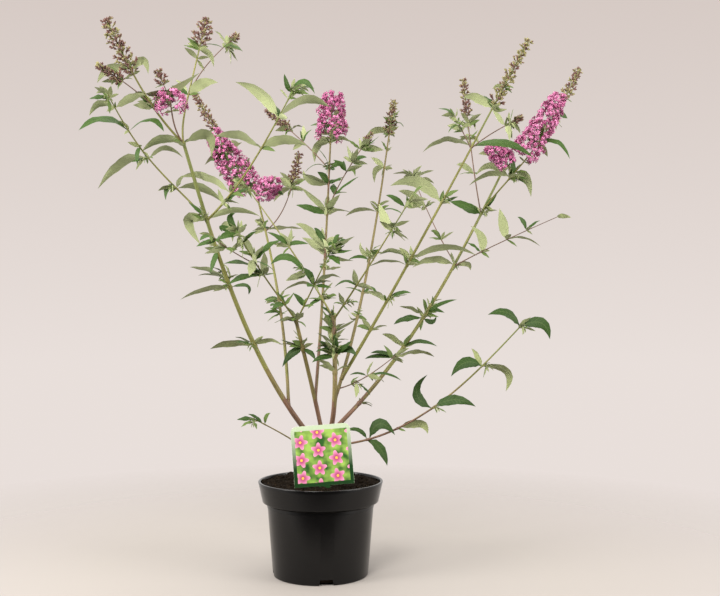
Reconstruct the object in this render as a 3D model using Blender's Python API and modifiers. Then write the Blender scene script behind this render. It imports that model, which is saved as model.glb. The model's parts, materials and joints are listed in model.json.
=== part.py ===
"""A butterfly bush in a round nursery pot, with a picture label stuck in its soil.

The bush is a short stem, ten boughs and the masses of twigs, leaves and flower spikes that
grow on from them. Metres, +Z up. The origin is the centre of the pot's flat underside, and
the bush faces -Y. A bearing is 0 along +X and 90 along +Y, and a rise is above level.
"""

import math
import random
from collections import namedtuple

import bmesh
import bpy
import numpy as np
from mathutils import Matrix, Vector

# Driving dimensions
POT_HEIGHT = 0.142
POT_RIM_RADIUS = 0.095
POT_FOOT_RADIUS = 0.072
POT_BAND_HEIGHT = 0.031
POT_BAND_STEP = 0.0075
POT_BAND_TAPER = 0.006
POT_EDGE = 0.003
POT_LIP = 0.002
POT_WALL = 0.002
POT_FLOOR = 0.0035
POT_SIDES = 40
NOTCH_WIDTH = 0.026
NOTCH_HEIGHT = 0.009
NOTCH_DEPTH = 0.014
NOTCH_TAPER = 0.70
NOTCH_OVERRUN = 0.02
NOTCH_BEARING = -81
NOTCH_COUNT = 4
SOIL_HEIGHT = 0.134
SOIL_MOUND = 0.0012
SOIL_SAG = 0.002
SOIL_LUMPS = (-0.0015, 0.0026)
SOIL_PAD_RADIUS = 0.019
LABEL_WIDTH = 0.087
LABEL_HEIGHT = 0.088
LABEL_THICKNESS = 0.0006
LABEL_CORNER = 0.009
LABEL_CORNER_STEPS = 4
LABEL_CENTRE = Vector((0.005, -0.070, 0.190))
LABEL_ROLL = 4.8
LABEL_LEAN = 3
STAKE_WIDTH = 0.016
STAKE_LENGTH = 0.040
STAKE_SHOULDER = 0.8
STEM_LENGTH = 0.072
STEM_RADIUS = 0.0105
STEM_FLARE = 0.0055
STEM_FLARE_EASE = 9
STEM_TAPER = 0.12
STEM_CROWN = 0.74
STEM_SHARES = (0, 0.08, 0.2, 0.4, 0.65, 0.85, 0.96, 1)
STEM_BEARING = (40, 40)
STEM_RISE = (90, 82)
CLEARANCE = 0.0003
MILLIMETRE = 0.001

# The leaves: widths, folds and leans are shares of a leaf's length
LEAF_WIDEST = 0.29
LEAF_LEAST_SHOWN = 0.4
LEAF_FOLD = 0.022
LEAF_KEEL = 0.016
LEAF_TWIST = 22
LEAF_ROOT = 0.0004
LONG_LEAF = 0.056
LONG_RINGS = (0.30, 0.68)
SHORT_RINGS = (0.42,)
FAR_LEAN = (0.05, 0.50)
NEAR_LEAN = (-0.50, -0.15)
LEAF_SWINGS = (0, 0.3, -0.3, 0.6, -0.6, 0.9, -0.9)
LEAF_SIZES = (1, 0.8, 0.6)
SPACE_MARGIN = 0.0012
BOUGH_MARGIN = 0.0035
POT_MARGIN = 0.010
LABEL_MARGIN = 0.008
LABEL_BACK_MARGIN = 0.012

# The sprigs in the leaves' axils
SPRIG_CHANCE = 0.12
SPRIG_LEAF = (0.016, 0.028)
SPRIG_STEPS = 4
SPRIG_STRAIGHT = 0.6
SPRIG_NODE = 0.92
SPRIG_LEAN = 38
SPRIG_WIDTH = 0.34
LEAF_LEAN = 50
SPRIG_STRAY = 12
SPRIG_SIZES = (0.85, 1.15)
SPRIG_DROOP = (20, 55)
SPRIG_SHOWN = (-0.7, 0.7)
SPRIG_RADII = (0.0009, 0.0007, 0.0004)
LIMB_STEPS = 24
NEAR_SHARE = 0.02
WELD = 0.000002
LEAF_STEPS = 8
TUBE_STEP = 0.040
JOINT_NIP = 0.002
STEM_SIDES = 10
BOUGH_SIDES = 7
LIMB_SIDES = 4
TWIG_SIDES = 3
BLOOM_RINGS = 7
BLOOM_SIDES = 8
BLOOM_TAPER = 0.45
BLOOM_LUMP = (0.82, 1.06)
BLOOM_CROWN = 0.004
BUD_STEP = 0.014
BUD_TAPER = 0.6
BUD_SINK = 0.15
BUD_RISE = 0.9
BUD_WIDTH = 0.0019
BUD_SPREAD = 0.16
BUD_CROWN = 0.006

Limb = namedtuple("Limb", "parent share length bearing rise radius heads")


def limb(parent, share, length, bearing, rise, radius, heads=()):
    """One row of the growth table.

    It springs from its parent at a share of the parent's length. Bearing, rise and radius run
    from foot to tip. Heads are the blossom and buds it carries: a kind, the shares they run
    between, their radius, and how far a blossom leans off its limb to the limb's left.
    """
    return Limb(parent, share, length, bearing, rise, radius, heads)


# Each mass: its main limb first, and the share of that limb where its bough gives way to it
MASSES = {
    "west": (0.37, {
        "west": limb("trunk", 0.72, 0.510, (-150, -142), (46, 71), (0.0041, 0.0023)),
        "west_outer": limb("west", 0.775, 0.240, (-213, -109), (48, 40), (0.0014, 0.0008)),
        "west_spike": limb("west", 1.00, 0.190, (-152, -146), (40, 62), (0.0017, 0.0009),
                           (("buds", 0.60, 1.0, 0.020, 0),)),
        "west_side_spike": limb("west_spike", 0.35, 0.095, (-132, -129), (34, 19),
                                (0.0009, 0.0006), (("buds", 0.58, 1.0, 0.010, 0),)),
        "west_bloom": limb("west", 1.00, 0.072, (-133, -126), (40, 84), (0.0012, 0.0010),
                           (("bloom", 0.66, 1.0, 0.028, 0),)),
        "west_bud": limb("west_bloom", 0.90, 0.038, (-160, -160), (62, 66), (0.0008, 0.0006),
                         (("buds", 0.55, 1.0, 0.010, 0),)),
        "west_tall_spike": limb("west", 1.00, 0.210, (113, 49), (52, 75), (0.0015, 0.0009),
                                (("buds", 0.81, 1.0, 0.018, 0),)),
        "west_thin": limb("west_tall_spike", 0.42, 0.150, (48, 56), (64, 39), (0.0009, 0.0006),
                          (("buds", 0.90, 1.0, 0.008, 0),)),
        "west_right": limb("west", 0.78, 0.225, (-32, -32), (34, 55), (0.0017, 0.0009)),
    }),
    "west_inner": (0.24, {
        "west_inner": limb("west", 0.18, 0.390, (104, 115), (78, 55), (0.0026, 0.0015)),
        "inner_bloom": limb("west_inner", 0.96, 0.205, (185, 175), (56, 60), (0.0013, 0.0007),
                            (("bloom", 0.08, 0.64, 0.029, 0.005),
                             ("buds", 0.66, 1.0, 0.011, 0))),
        "inner_bloom_right": limb("west_inner", 0.96, 0.050, (-43, -41), (44, 16),
                                  (0.0011, 0.0009), (("bloom", 0.15, 1.0, 0.021, 0),)),
        "inner_spike": limb("west_inner", 0.78, 0.185, (52, 75), (30, 60), (0.0010, 0.0007),
                            (("buds", 0.63, 1.0, 0.014, 0),)),
    }),
    "centre": (0.72, {
        "centre": limb("trunk", 0.93, 0.200, (-138, -126), (76, 69), (0.0034, 0.0027)),
        "centre_left": limb("centre", 0.98, 0.190, (-153, -108), (53, 35), (0.0014, 0.0008)),
        "centre_thin": limb("centre_left", 0.60, 0.115, (-132, -112), (18, 17),
                            (0.0009, 0.0006)),
        "centre_right": limb("centre", 0.97, 0.155, (-58, -58), (43, 46), (0.0013, 0.0007)),
    }),
    "centre_back": (0.18, {
        "centre_back": limb("centre", 0.33, 0.500, (79, 77), (70, 81), (0.0026, 0.0012),
                            (("bloom", 0.85, 1.0, 0.029, 0),)),
        "back_spike": limb("centre_back", 0.75, 0.175, (145, 141), (46, 36), (0.0010, 0.0007),
                           (("buds", 0.64, 1.0, 0.011, 0),)),
        "back_sprig": limb("centre_back", 0.61, 0.140, (-10, -6), (70, 55), (0.0011, 0.0006),
                           (("buds", 0.88, 1.0, 0.008, 0),)),
    }),
    "middle": (0.58, {
        "middle": limb("trunk", 0.90, 0.215, (-64, -81), (27, 105), (0.0039, 0.0033)),
        "middle_left": limb("middle", 0.98, 0.270, (151, 151), (57, 50), (0.0015, 0.0008)),
        "middle_right": limb("middle", 0.97, 0.235, (-45, -40), (45, 51), (0.0015, 0.0008)),
    }),
    "back_east": (0.21, {
        "back_east": limb("middle", 0.40, 0.535, (62, 66), (55, 71), (0.0028, 0.0010),
                          (("buds", 0.885, 1.0, 0.014, 0),)),
    }),
    "tall_east": (0.13, {
        "tall_east": limb("back_east", 0.07, 0.560, (-17, -18), (58, 61), (0.0027, 0.0010),
                          (("buds", 0.82, 1.0, 0.014, 0),)),
        "tall_right": limb("tall_east", 0.70, 0.095, (-48, -48), (28, 15), (0.0009, 0.0006),
                           (("buds", 0.90, 1.0, 0.006, 0),)),
        "tall_left": limb("tall_east", 0.70, 0.055, (171, 171), (66, 63), (0.0008, 0.0005)),
    }),
    "east": (0.12, {
        "east": limb("middle", 0.12, 0.505, (16, 17), (41, 62), (0.0034, 0.0018)),
        "east_spike": limb("east", 0.84, 0.225, (123, 117), (74, 80), (0.0011, 0.0007),
                           (("buds", 0.74, 1.0, 0.011, 0),)),
        "east_bloom": limb("east", 0.85, 0.280, (-68, 26), (34, 61), (0.0014, 0.0007),
                           (("bloom", 0.38, 0.80, 0.025, 0.009),
                            ("buds", 0.81, 1.0, 0.012, 0))),
        "east_bloom_left": limb("east_bloom", 0.29, 0.060, (-158, -158), (62, 38),
                                (0.0010, 0.0008), (("bloom", 0.25, 1.0, 0.0195, 0),)),
        "east_low": limb("east", 0.65, 0.180, (-23, -23), (27, 22), (0.0010, 0.0005)),
        "east_thin": limb("east", 0.66, 0.195, (119, 120), (43, 55), (0.0009, 0.0006)),
    }),
    "low_east": (0.14, {
        "low_east": limb("trunk", 0.84, 0.360, (-7, -15), (0, 47), (0.0018, 0.0010)),
    }),
    "low_west": (0.62, {
        "low_west": limb("trunk", 0.50, 0.130, (-158, -153), (42, 28), (0.0013, 0.0008)),
    }),
    "low_shoot": (0.0, {
        "low_shoot": limb("back_east", 0.04, 0.100, (-2, 1), (14, 38), (0.0010, 0.0006)),
    }),
}
LIMBS = {name: row for split, rows in MASSES.values() for name, row in rows.items()}
BOUGHS = [mass for mass, (split, rows) in MASSES.items() if split > 0]

# The leaves of each limb: the share of the limb where a leaf stands, the place of its middle
# and of its tip, right and up from there, how much of the blade's width shows from the front
# (its upper face where less than nothing), and the width that shows. In millimetres.
LEAVES = {
    "west": (
        (1.00, -32, 8, -63, -9, 0.6, 9), (1.00, 32, 14, 36, -16, 0.75, 14),
        (0.78, 46, 18, 94, 8, 0.7, 10), (0.78, -27, 0, -9, -36, 0.8, 14),
        (0.78, -10, 4, -21, 8, -0.6, 4), (0.58, -38, -2, -76, -18, 0.55, 9),
        (0.58, 40, 3, 44, -18, -0.4, 8), (0.60, 22, 9, 46, 14, -0.4, 8),
        (0.60, -26, 14, -57, 20, 0.4, 8), (0.60, -22, 9, -46, 8, 0.3, 6),
        (0.60, 2, 12, -8, 26, 0.5, 6), (0.69, -4, -15, -8, -33, -0.8, 8),
        (0.395, -33, 4, -68, -6, 0.4, 8), (0.395, -15, 9, -30, 12, 0.3, 6),
        (0.395, 36, 15, 72, 2, 0.5, 9)),
    "west_outer": (
        (0.73, -33, 14, -63, -3, -0.45, 9), (0.73, 30, 15, 51, -3, -0.4, 9),
        (0.90, -21, 6, -36, -10, 0.4, 8), (0.90, 20, 15, 38, 22, 0.6, 10),
        (0.97, -10, 9, -21, 8, 0.3, 4), (0.97, 6, 4, 12, 6, 0.8, 8), (0.97, -3, 9, -2, 16, 0.5, 4),
        (0.52, -40, -3, -80, -39, 0.5, 9), (0.52, 22, 16, 46, 3, 0.3, 8),
        (0.61, -3, -10, -2, -27, -0.95, 14), (0.28, -12, 0, -14, -18, -0.95, 18),
        (0.28, 33, 2, 63, -18, 0.5, 8)),
    "west_spike": (
        (0.64, -30, 4, -50, -15, 0.7, 9), (0.64, 15, 14, 22, -4, 0.8, 10),
        (0.64, 9, 9, 18, 12, 0.6, 8), (0.33, -10, 10, -24, 21, -0.8, 12),
        (0.36, 27, 22, 63, 50, 0.7, 10), (0.45, 22, 4, 52, 10, 0.35, 6)),
    "west_side_spike": (
        (0.60, -3, -4, -4, -14, -0.8, 6), (0.60, 6, 4, 14, 3, 0.3, 3)),
    "west_tall_spike": (
        (0.42, 18, 20, 40, 24, 0.85, 15), (0.42, -10, 15, -22, 27, 0.7, 9),
        (0.78, -12, 4, -22, 6, -0.7, 12), (0.78, 14, -4, 20, -22, 0.85, 14),
        (0.71, 6, -8, 10, -16, 0.8, 8)),
    "west_thin": (
        (0.80, -8, 15, -18, 22, 0.4, 6), (0.80, 14, -3, 26, -12, -0.7, 8),
        (0.74, -14, 4, -27, 3, -0.3, 4), (0.84, 4, 6, 12, 6, 0.4, 4)),
    "west_right": (
        (0.25, -38, 26, -76, 26, 0.7, 10), (0.16, 18, 14, 39, 21, -0.6, 8),
        (0.60, 28, 15, 63, 9, 0.7, 12), (0.60, -30, 21, -68, 22, 0.35, 8),
        (0.82, -24, 34, -60, 51, 0.85, 16), (0.82, 34, 27, 69, 20, 0.3, 8),
        (0.99, 16, 15, 32, -3, -0.8, 8), (0.99, -6, 12, -9, 24, -0.85, 10),
        (0.99, 2, 12, 4, 22, 0.8, 9), (0.99, 8, 8, 14, 10, 0.7, 6),
        (0.95, -8, 10, -12, 14, 0.4, 4)),
    "west_inner": (
        (0.79, -9, 9, -18, 15, 0.8, 10), (0.79, 0, 8, 6, 16, -0.9, 15),
        (0.79, 30, 4, 62, 3, 0.4, 6), (0.44, -12, 2, -22, -3, -0.4, 4),
        (0.44, 9, 6, 18, 9, -0.5, 4), (0.38, -12, 4, -26, 0, -0.5, 6),
        (0.38, -10, -3, -21, -12, -0.5, 4), (0.38, 6, 3, 12, 6, -0.4, 4)),
    "inner_bloom": (
        (0.42, 6, 12, 20, 21, 0.8, 9), (0.45, -9, 9, -18, 15, 0.8, 9),
        (0.20, 6, 8, 14, 18, -0.95, 12), (0.24, -8, 6, -15, 8, 0.7, 8),
        (0.40, -22, 6, -46, -12, 0.3, 6), (0.07, 22, 9, 50, 2, 0.4, 8),
        (0.12, -14, 9, -27, 4, 0.7, 9)),
    "inner_spike": (
        (0.60, -16, -3, -30, -21, 0.6, 9), (0.62, 10, -2, 20, -9, -0.4, 4),
        (0.60, -3, -8, -4, -15, -0.9, 8), (0.64, 8, 4, 18, 4, -0.3, 4)),
    "centre": (
        (0.75, -21, -9, -38, -34, -0.95, 20), (0.77, -21, 4, -44, 4, 0.3, 6),
        (0.75, 20, -9, 32, -27, -0.8, 12), (0.77, 22, 10, 45, 18, -0.6, 10),
        (0.74, 9, -6, 16, -14, -0.9, 6), (0.97, -14, 4, -24, 2, -0.4, 4),
        (0.97, 9, -2, 15, -9, -0.4, 4)),
    "centre_left": (
        (0.16, 6, 6, 15, 18, -0.85, 14), (0.16, -8, 3, -15, 3, -0.5, 8),
        (0.48, -22, -2, -44, -15, -0.45, 9), (0.50, -24, 14, -50, 12, -0.35, 6),
        (0.48, 9, 2, 16, 2, -0.5, 4), (0.64, 16, 20, 40, 30, -0.8, 10),
        (0.64, 15, -4, 30, -15, -0.3, 4), (0.70, 3, 6, 3, 14, 0.8, 12),
        (0.86, 8, 9, 20, 15, -0.7, 9), (0.95, -8, 4, -10, -10, 0.8, 9),
        (0.95, 2, 12, 2, 21, 0.7, 9), (0.95, -15, 15, -28, 10, 0.7, 9),
        (0.95, -12, 21, -4, 28, -0.8, 8), (0.95, -22, 9, -22, 3, -0.9, 8)),
    "centre_thin": (
        (0.60, 8, -2, 15, -3, -0.5, 6), (0.84, -12, 8, -22, 9, 0.3, 4)),
    "centre_right": (
        (0.20, 2, 8, 9, 15, -0.6, 14), (0.48, -21, 3, -46, -8, 0.4, 6),
        (0.50, 20, 12, 38, 9, 0.5, 8), (0.90, 12, 9, 28, 20, 0.6, 8),
        (0.90, 12, 4, 22, 10, -0.3, 4), (0.90, 15, 0, 32, 2, -0.3, 4),
        (0.86, 15, -4, 36, -8, 0.4, 6)),
    "centre_back": (
        (0.32, -12, -3, -22, -14, -0.6, 6), (0.32, -10, 3, -22, 2, -0.3, 4),
        (0.32, 14, 8, 22, 6, -0.5, 6), (0.32, 12, 3, 22, 3, 0.3, 4), (0.42, 14, 2, 27, 4, 0.3, 4),
        (0.47, -20, 16, -38, 27, 0.8, 12), (0.48, -24, 32, -48, 44, 0.8, 12),
        (0.50, -10, 18, -18, 26, -0.9, 12), (0.48, -3, 20, -6, 39, 0.7, 9),
        (0.60, -34, 12, -62, 18, -0.9, 14), (0.61, -22, 21, -42, 38, 0.8, 10),
        (0.61, 0, 16, 2, 30, 0.9, 21), (0.60, 28, 12, 69, 3, 0.4, 8),
        (0.70, -20, 9, -44, 15, 0.3, 4), (0.70, -30, 6, -40, 22, 0.8, 10),
        (0.75, -33, 12, -64, -12, -0.3, 6), (0.75, 15, 9, 27, 0, -0.9, 12),
        (0.84, -21, -4, -26, -30, 0.6, 9), (0.84, 15, 9, 33, 2, 0.6, 12)),
    "back_spike": (
        (0.42, 4, 12, 15, 20, -0.5, 9), (0.62, 8, 9, 20, 8, 0.3, 3),
        (0.66, -3, -6, -4, -14, -0.8, 6)),
    "back_sprig": (
        (0.20, 18, 16, 40, 27, -0.3, 6), (0.50, -9, 12, -21, 18, -0.9, 14),
        (0.50, 10, 4, 14, -8, -0.9, 9), (0.62, -8, 8, -14, 10, 0.8, 10),
        (0.62, 12, 8, 24, 8, -0.9, 10), (0.64, 0, 8, -2, 15, 0.7, 6),
        (0.80, -10, 8, -20, 15, -0.6, 6), (0.80, 0, 10, -3, 21, 0.8, 15),
        (0.82, 15, 9, 28, 18, -0.4, 4)),
    "middle": (
        (0.72, -22, 14, -46, 9, -0.6, 12), (0.71, -18, 0, -33, -8, -0.9, 9),
        (0.76, -18, 9, -33, 2, 0.5, 9), (0.73, 18, 8, 33, -3, -0.8, 10),
        (0.73, 14, 10, 26, 20, -0.7, 8), (0.74, 2, 14, -2, 27, -0.95, 14),
        (0.82, 12, 3, 27, 2, 0.3, 4), (0.79, -8, 18, -8, 34, 0.6, 14),
        (0.88, -24, 10, -50, 10, -0.3, 4), (0.88, 15, 10, 34, 20, 0.3, 4),
        (0.90, -6, 9, -8, 20, -0.8, 8), (0.60, 12, 8, 24, 9, 0.4, 6),
        (0.98, -10, 4, -16, 12, -0.4, 8)),
    "middle_left": (
        (0.30, -28, 26, -54, 14, -0.6, 10), (0.52, 4, 10, 6, 26, 0.85, 20),
        (0.52, -10, 9, -30, 18, -0.6, 8), (0.50, -6, -6, -12, -15, -0.7, 9),
        (0.52, 16, 3, 33, 0, -0.9, 8), (0.95, -8, 9, -18, 15, 0.8, 9),
        (0.95, 8, -3, 14, -10, 0.8, 10)),
    "middle_right": (
        (0.13, 3, -4, 9, -10, -0.6, 9), (0.13, -8, 4, -15, 2, -0.5, 6),
        (0.29, -15, 8, -32, -2, -0.5, 8), (0.72, -9, 21, -16, 42, 0.85, 18),
        (0.74, 9, 9, 18, 10, -0.3, 6), (0.90, -14, 12, -28, 16, -0.8, 10),
        (0.93, 4, 8, 8, 14, 0.5, 4)),
    "back_east": (
        (0.35, -21, 12, -46, 14, -0.3, 4), (0.35, 14, 9, 22, -3, -0.5, 9),
        (0.27, -8, -2, -14, 6, 0.5, 8), (0.46, -28, 8, -57, -2, -0.95, 9),
        (0.47, -12, 10, -15, 24, 0.9, 21), (0.62, -33, 9, -66, -4, 0.3, 6),
        (0.62, 36, 8, 69, -10, -0.3, 6), (0.64, -8, 6, -14, 8, 0.7, 6),
        (0.77, -10, 12, -22, 20, 0.9, 20), (0.77, -14, -3, -16, -24, 0.8, 12),
        (0.83, 4, 4, 9, 8, 0.3, 3), (0.89, -21, 8, -42, -8, 0.8, 10), (0.90, 8, 4, 16, 8, 0.8, 12),
        (0.92, 14, 4, 22, -4, -0.4, 4)),
    "tall_east": (
        (0.155, -18, 10, -33, 9, -0.95, 12), (0.155, 14, 6, 26, 6, 0.4, 6),
        (0.245, -22, 18, -52, 24, 0.8, 15), (0.245, 18, 12, 36, 12, -0.5, 9),
        (0.355, -27, 8, -56, 0, 0.3, 6), (0.37, -28, 18, -56, 12, 0.6, 9),
        (0.37, 50, 20, 98, 6, 0.6, 9), (0.38, 0, 8, -2, 18, 0.7, 6),
        (0.54, -33, 32, -74, 28, 0.85, 18), (0.54, 14, 6, 24, 9, -0.7, 9),
        (0.705, -36, 14, -70, -4, 0.35, 8), (0.705, 46, 4, 86, -20, -0.75, 12),
        (0.815, -21, 18, -40, 20, 0.85, 16), (0.815, 10, -2, 22, 0, 0.7, 8),
        (0.875, -8, 3, -16, -2, 0.8, 6), (0.875, 6, -2, 12, -9, -0.7, 4)),
    "tall_right": (
        (0.72, -8, 14, -16, 24, 0.6, 8), (0.80, 8, 3, 15, 4, 0.5, 4)),
    "tall_left": (
        (0.50, -10, 8, -22, -3, -0.5, 6), (0.55, 8, 9, 14, 3, 0.8, 10),
        (0.95, -4, 4, -12, 8, 0.7, 8), (0.95, 3, 6, 3, 14, 0.7, 6)),
    "east": (
        (0.13, -10, 8, -21, 14, -0.5, 8), (0.13, 12, 2, 21, -3, 0.3, 3),
        (0.31, -36, 14, -66, 12, -0.5, 8), (0.31, -36, 4, -60, -2, -0.7, 8),
        (0.35, -15, 14, -33, 20, 0.6, 8), (0.31, 32, 10, 62, 0, 0.5, 9),
        (0.35, 24, 9, 51, 2, -0.4, 8), (0.35, 4, 10, 12, 21, -0.7, 10),
        (0.46, -26, 0, -46, -10, -0.5, 12), (0.46, -3, -9, -4, -20, -0.95, 21),
        (0.46, 14, -6, 20, 3, -0.95, 18), (0.48, 22, 14, 46, 20, -0.7, 6),
        (0.47, -18, 10, -39, 14, 0.3, 6), (0.48, -3, 14, -6, 21, -0.9, 9),
        (0.50, 4, 9, 4, 18, -0.8, 8), (0.49, 9, 6, 14, 12, 0.6, 6),
        (0.655, -33, 10, -66, -4, 0.65, 10), (0.655, 20, 3, 27, -8, 0.8, 14),
        (0.84, -26, 12, -52, 18, -0.95, 20), (0.84, -9, 10, -18, 16, 0.9, 12)),
    "east_spike": (
        (0.30, -16, 14, -28, 16, 0.8, 15), (0.56, -9, 3, -21, -4, 0.5, 6),
        (0.56, 9, 3, 14, -9, 0.7, 10), (0.66, -9, 4, -15, 14, 0.7, 8),
        (0.68, 8, 3, 12, -9, 0.7, 9)),
    "east_bloom": (
        (0.262, -27, 21, -50, 8, 0.8, 10), (0.270, -30, 8, -62, -10, 0.6, 8),
        (0.305, 18, -8, 26, -38, 0.85, 14), (0.255, 14, 2, 28, -2, -0.4, 4),
        (0.28, 0, 15, -9, 32, -0.95, 21), (0.03, 8, 10, 18, 20, -0.9, 15),
        (0.50, 28, 2, 46, -26, -0.8, 10), (0.53, -9, 6, -20, 12, -0.9, 12),
        (0.66, 4, -4, 6, -15, 0.8, 8)),
    "east_low": (
        (0.27, 4, 21, -14, 42, 0.85, 16), (0.27, -10, 10, -24, 15, -0.7, 10),
        (0.52, -4, 26, -8, 50, 0.85, 15), (0.52, 27, 4, 54, -10, 0.3, 4),
        (0.71, -6, 14, -15, 20, -0.9, 12), (0.71, 9, 10, 20, 15, -0.5, 6)),
    "east_thin": (
        (0.28, -9, 12, -18, 14, -0.95, 15), (0.28, 10, 8, 20, 14, 0.4, 6),
        (0.65, -22, 21, -45, 30, 0.7, 12), (0.65, 8, 8, 16, 9, 0.4, 4),
        (0.99, 6, 12, 15, 21, 0.7, 9), (0.99, -8, 8, -18, 16, 0.6, 6),
        (0.99, -16, 9, -34, 8, 0.4, 6), (0.99, 18, 9, 36, 14, 0.3, 4),
        (0.95, 18, 4, 34, -3, 0.3, 4)),
    "low_east": (
        (0.19, -22, 26, -63, 22, -0.8, 10), (0.20, 16, 24, 39, 8, -0.9, 18),
        (0.20, 18, -16, 27, -39, -0.95, 22), (0.33, 33, 8, 46, -9, 0.8, 16),
        (0.50, -24, 24, -8, 52, -0.7, 12), (0.51, 30, 12, 60, 3, -0.9, 14),
        (0.775, -26, 6, -48, -14, -0.95, 16), (0.775, -6, 15, -14, 26, 0.8, 9),
        (0.775, 38, -8, 38, -39, 0.7, 12), (1.00, -20, 21, -50, 18, -0.8, 14),
        (1.00, 30, 6, 42, -18, -0.9, 18)),
    "low_west": (
        (0.85, 2, 12, 9, 18, -0.8, 10), (0.88, -10, 10, -21, 15, -0.5, 6),
        (0.95, -8, 2, -15, 4, 0.5, 4)),
    "low_shoot": (
        (0.47, -21, 8, -44, 3, -0.4, 4), (0.47, 27, 4, 51, -6, -0.3, 4),
        (0.92, -4, 12, -15, 26, -0.95, 15), (0.20, 3, 6, 12, 12, -0.4, 6)),
}

# Colours, roughness and metallic value of each finish
FINISHES = {
    "pot": ((0.018, 0.018, 0.020, 1), 0.38, 0),
    "soil": ((0.030, 0.021, 0.015, 1), 0.95, 0),
    "label": ((0.16, 0.30, 0.10, 1), 0.35, 0),
    "bark": ((0.16, 0.10, 0.055, 1), 0.85, 0),
    "cane": ((0.25, 0.25, 0.09, 1), 0.65, 0),
    "leaf": ((0.14, 0.22, 0.075, 1), 0.60, 0),
}


# ------------------------------------------------------------------ the growth rule

def mix(pair, share):
    """The value at a share of the way from the first number to the second."""
    return pair[0] + (pair[1] - pair[0]) * share


def heading(bearing, rise):
    """The unit vector along a bearing and a rise, both in degrees."""
    b = math.radians(bearing)
    r = math.radians(rise)
    return Vector((math.cos(r) * math.cos(b), math.cos(r) * math.sin(b), math.sin(r)))


def grow(foot, length, bearing, rise, steps=LIMB_STEPS):
    """Points along a limb whose heading eases from its foot's to its tip's."""
    points = [Vector(foot)]
    for i in range(steps):
        ease = 1 - (1 - (i + 0.5) / steps) ** 2
        points.append(points[-1] + heading(mix(bearing, ease), mix(rise, ease)) * length / steps)
    return points


def along(points, share):
    """The place at a share of a path's length."""
    place = share * (len(points) - 1)
    i = min(int(place), len(points) - 2)
    return points[i].lerp(points[i + 1], place - i)


def direction(points, share):
    """A path's direction at a share of its length."""
    after = along(points, min(1, share + NEAR_SHARE))
    return (after - along(points, max(0, share - NEAR_SHARE))).normalized()


def head_profile(kind, part):
    """The radius of a flower head along its length, as a share of its widest."""
    return 1 - (BLOOM_TAPER * part ** 2 if kind == "bloom" else BUD_TAPER * part)


def head_radius(row, share):
    """How far the flower heads of a limb reach from it at a share of its length."""
    widest = 0.0
    for kind, start, end, radius, aside in row.heads:
        if start <= share <= end:
            widest = max(widest, head_profile(kind, (share - start) / (end - start)) * radius)
            widest += abs(aside)
    return widest


def grow_limbs():
    """The path of the trunk and of each limb."""
    paths = {"trunk": grow((0, 0, SOIL_HEIGHT + CLEARANCE), STEM_LENGTH,
                           STEM_BEARING, STEM_RISE)}
    for name, row in LIMBS.items():
        foot = along(paths[row.parent], row.share)
        paths[name] = grow(foot, row.length, row.bearing, row.rise)
    return paths


def stem_radius(share):
    """The trunk's radius, with the flare at its foot."""
    return STEM_RADIUS * (1 - STEM_TAPER * share) + STEM_FLARE * math.exp(-STEM_FLARE_EASE * share)


def sample(points, radius_at, start=0.0, end=1.0, count=40):
    """Places along a path with its radius there, as rows of x, y, z, radius."""
    rows = []
    for i in range(count + 1):
        share = mix((start, end), i / count)
        rows.append((*along(points, share), radius_at(share)))
    return np.array(rows)


def reach(places, rows):
    """The distance from each place to the nearest of some sampled limbs."""
    gaps = np.linalg.norm(places[:, None, :] - rows[None, :, :3], axis=2) - rows[None, :, 3]
    return gaps.min(axis=1)


def survey(paths):
    """The sampled limbs of each mass, and the sampled trunk and boughs."""
    masses = {}
    boughs = [sample(paths["trunk"], stem_radius)]
    for mass, (split, rows) in MASSES.items():
        parts = []
        for name, row in rows.items():
            start = split if name == mass else 0.0
            parts.append(sample(paths[name],
                                lambda s, row=row: max(mix(row.radius, s), head_radius(row, s)),
                                start))
        masses[mass] = np.concatenate(parts)
        if split:
            row = rows[mass]
            boughs.append(sample(paths[mass], lambda s, row=row: mix(row.radius, s), 0, split))
    return masses, np.concatenate(boughs)


def leaf_width(share):
    """The width of a leaf along its length, as a share of its widest."""
    return math.sin(math.pi * share ** 0.75) ** 0.8


class Leaf:
    """One leaf: the path of its midrib, and the blade's frame along it."""

    def __init__(self, points, lift, width, twist):
        self.points = points
        self.lift = lift
        self.width = width
        self.twist = twist
        self.length = sum((end - start).length for start, end in zip(points, points[1:]))

    def frame(self, share):
        """The place, the direction across the blade and the one up from it."""
        run = direction(self.points, share)
        level = self.lift.cross(run).normalized()
        across = Matrix.Rotation(math.radians(self.twist * share), 3, run) @ level
        return along(self.points, share), across, run.cross(across)

    def outline(self, count=6):
        """Places on both edges and the midrib, from a little out of the foot to the tip."""
        places = []
        for i in range(1, count + 1):
            place, across, up = self.frame(i / count)
            half = across * self.width * 0.5 * leaf_width(i / count)
            places += [place - half, place, place + half]
        return np.array(places)


def face_up(run, shown):
    """The way a blade's upper face looks when a share of its width shows from the front."""
    back = (Vector((0, 1, 0)) - run * run.y).normalized()
    side = run.cross(back)
    if side.z < 0:
        side.negate()
    return back * shown + side * math.sqrt(1 - shown ** 2)


def table_leaf(node, row, depth, size, twist):
    """A leaf of the table: its midrib arches through its middle to its tip."""
    middle = Vector((row[1], depth * 0.5, row[2])) * MILLIMETRE * size
    tip = Vector((row[3], depth, row[4])) * MILLIMETRE * size
    bend = middle * 2 - tip * 0.5
    points = []
    for i in range(LEAF_STEPS + 1):
        share = i / LEAF_STEPS
        points.append(node + bend * 2 * share * (1 - share) + tip * share ** 2)
    leaf = Leaf(points, face_up(tip.normalized(), row[5]), 0, twist)
    shown = row[6] * MILLIMETRE * size / max(abs(row[5]), LEAF_LEAST_SHOWN)
    leaf.width = min(leaf.length * LEAF_WIDEST, shown)
    return leaf


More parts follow.
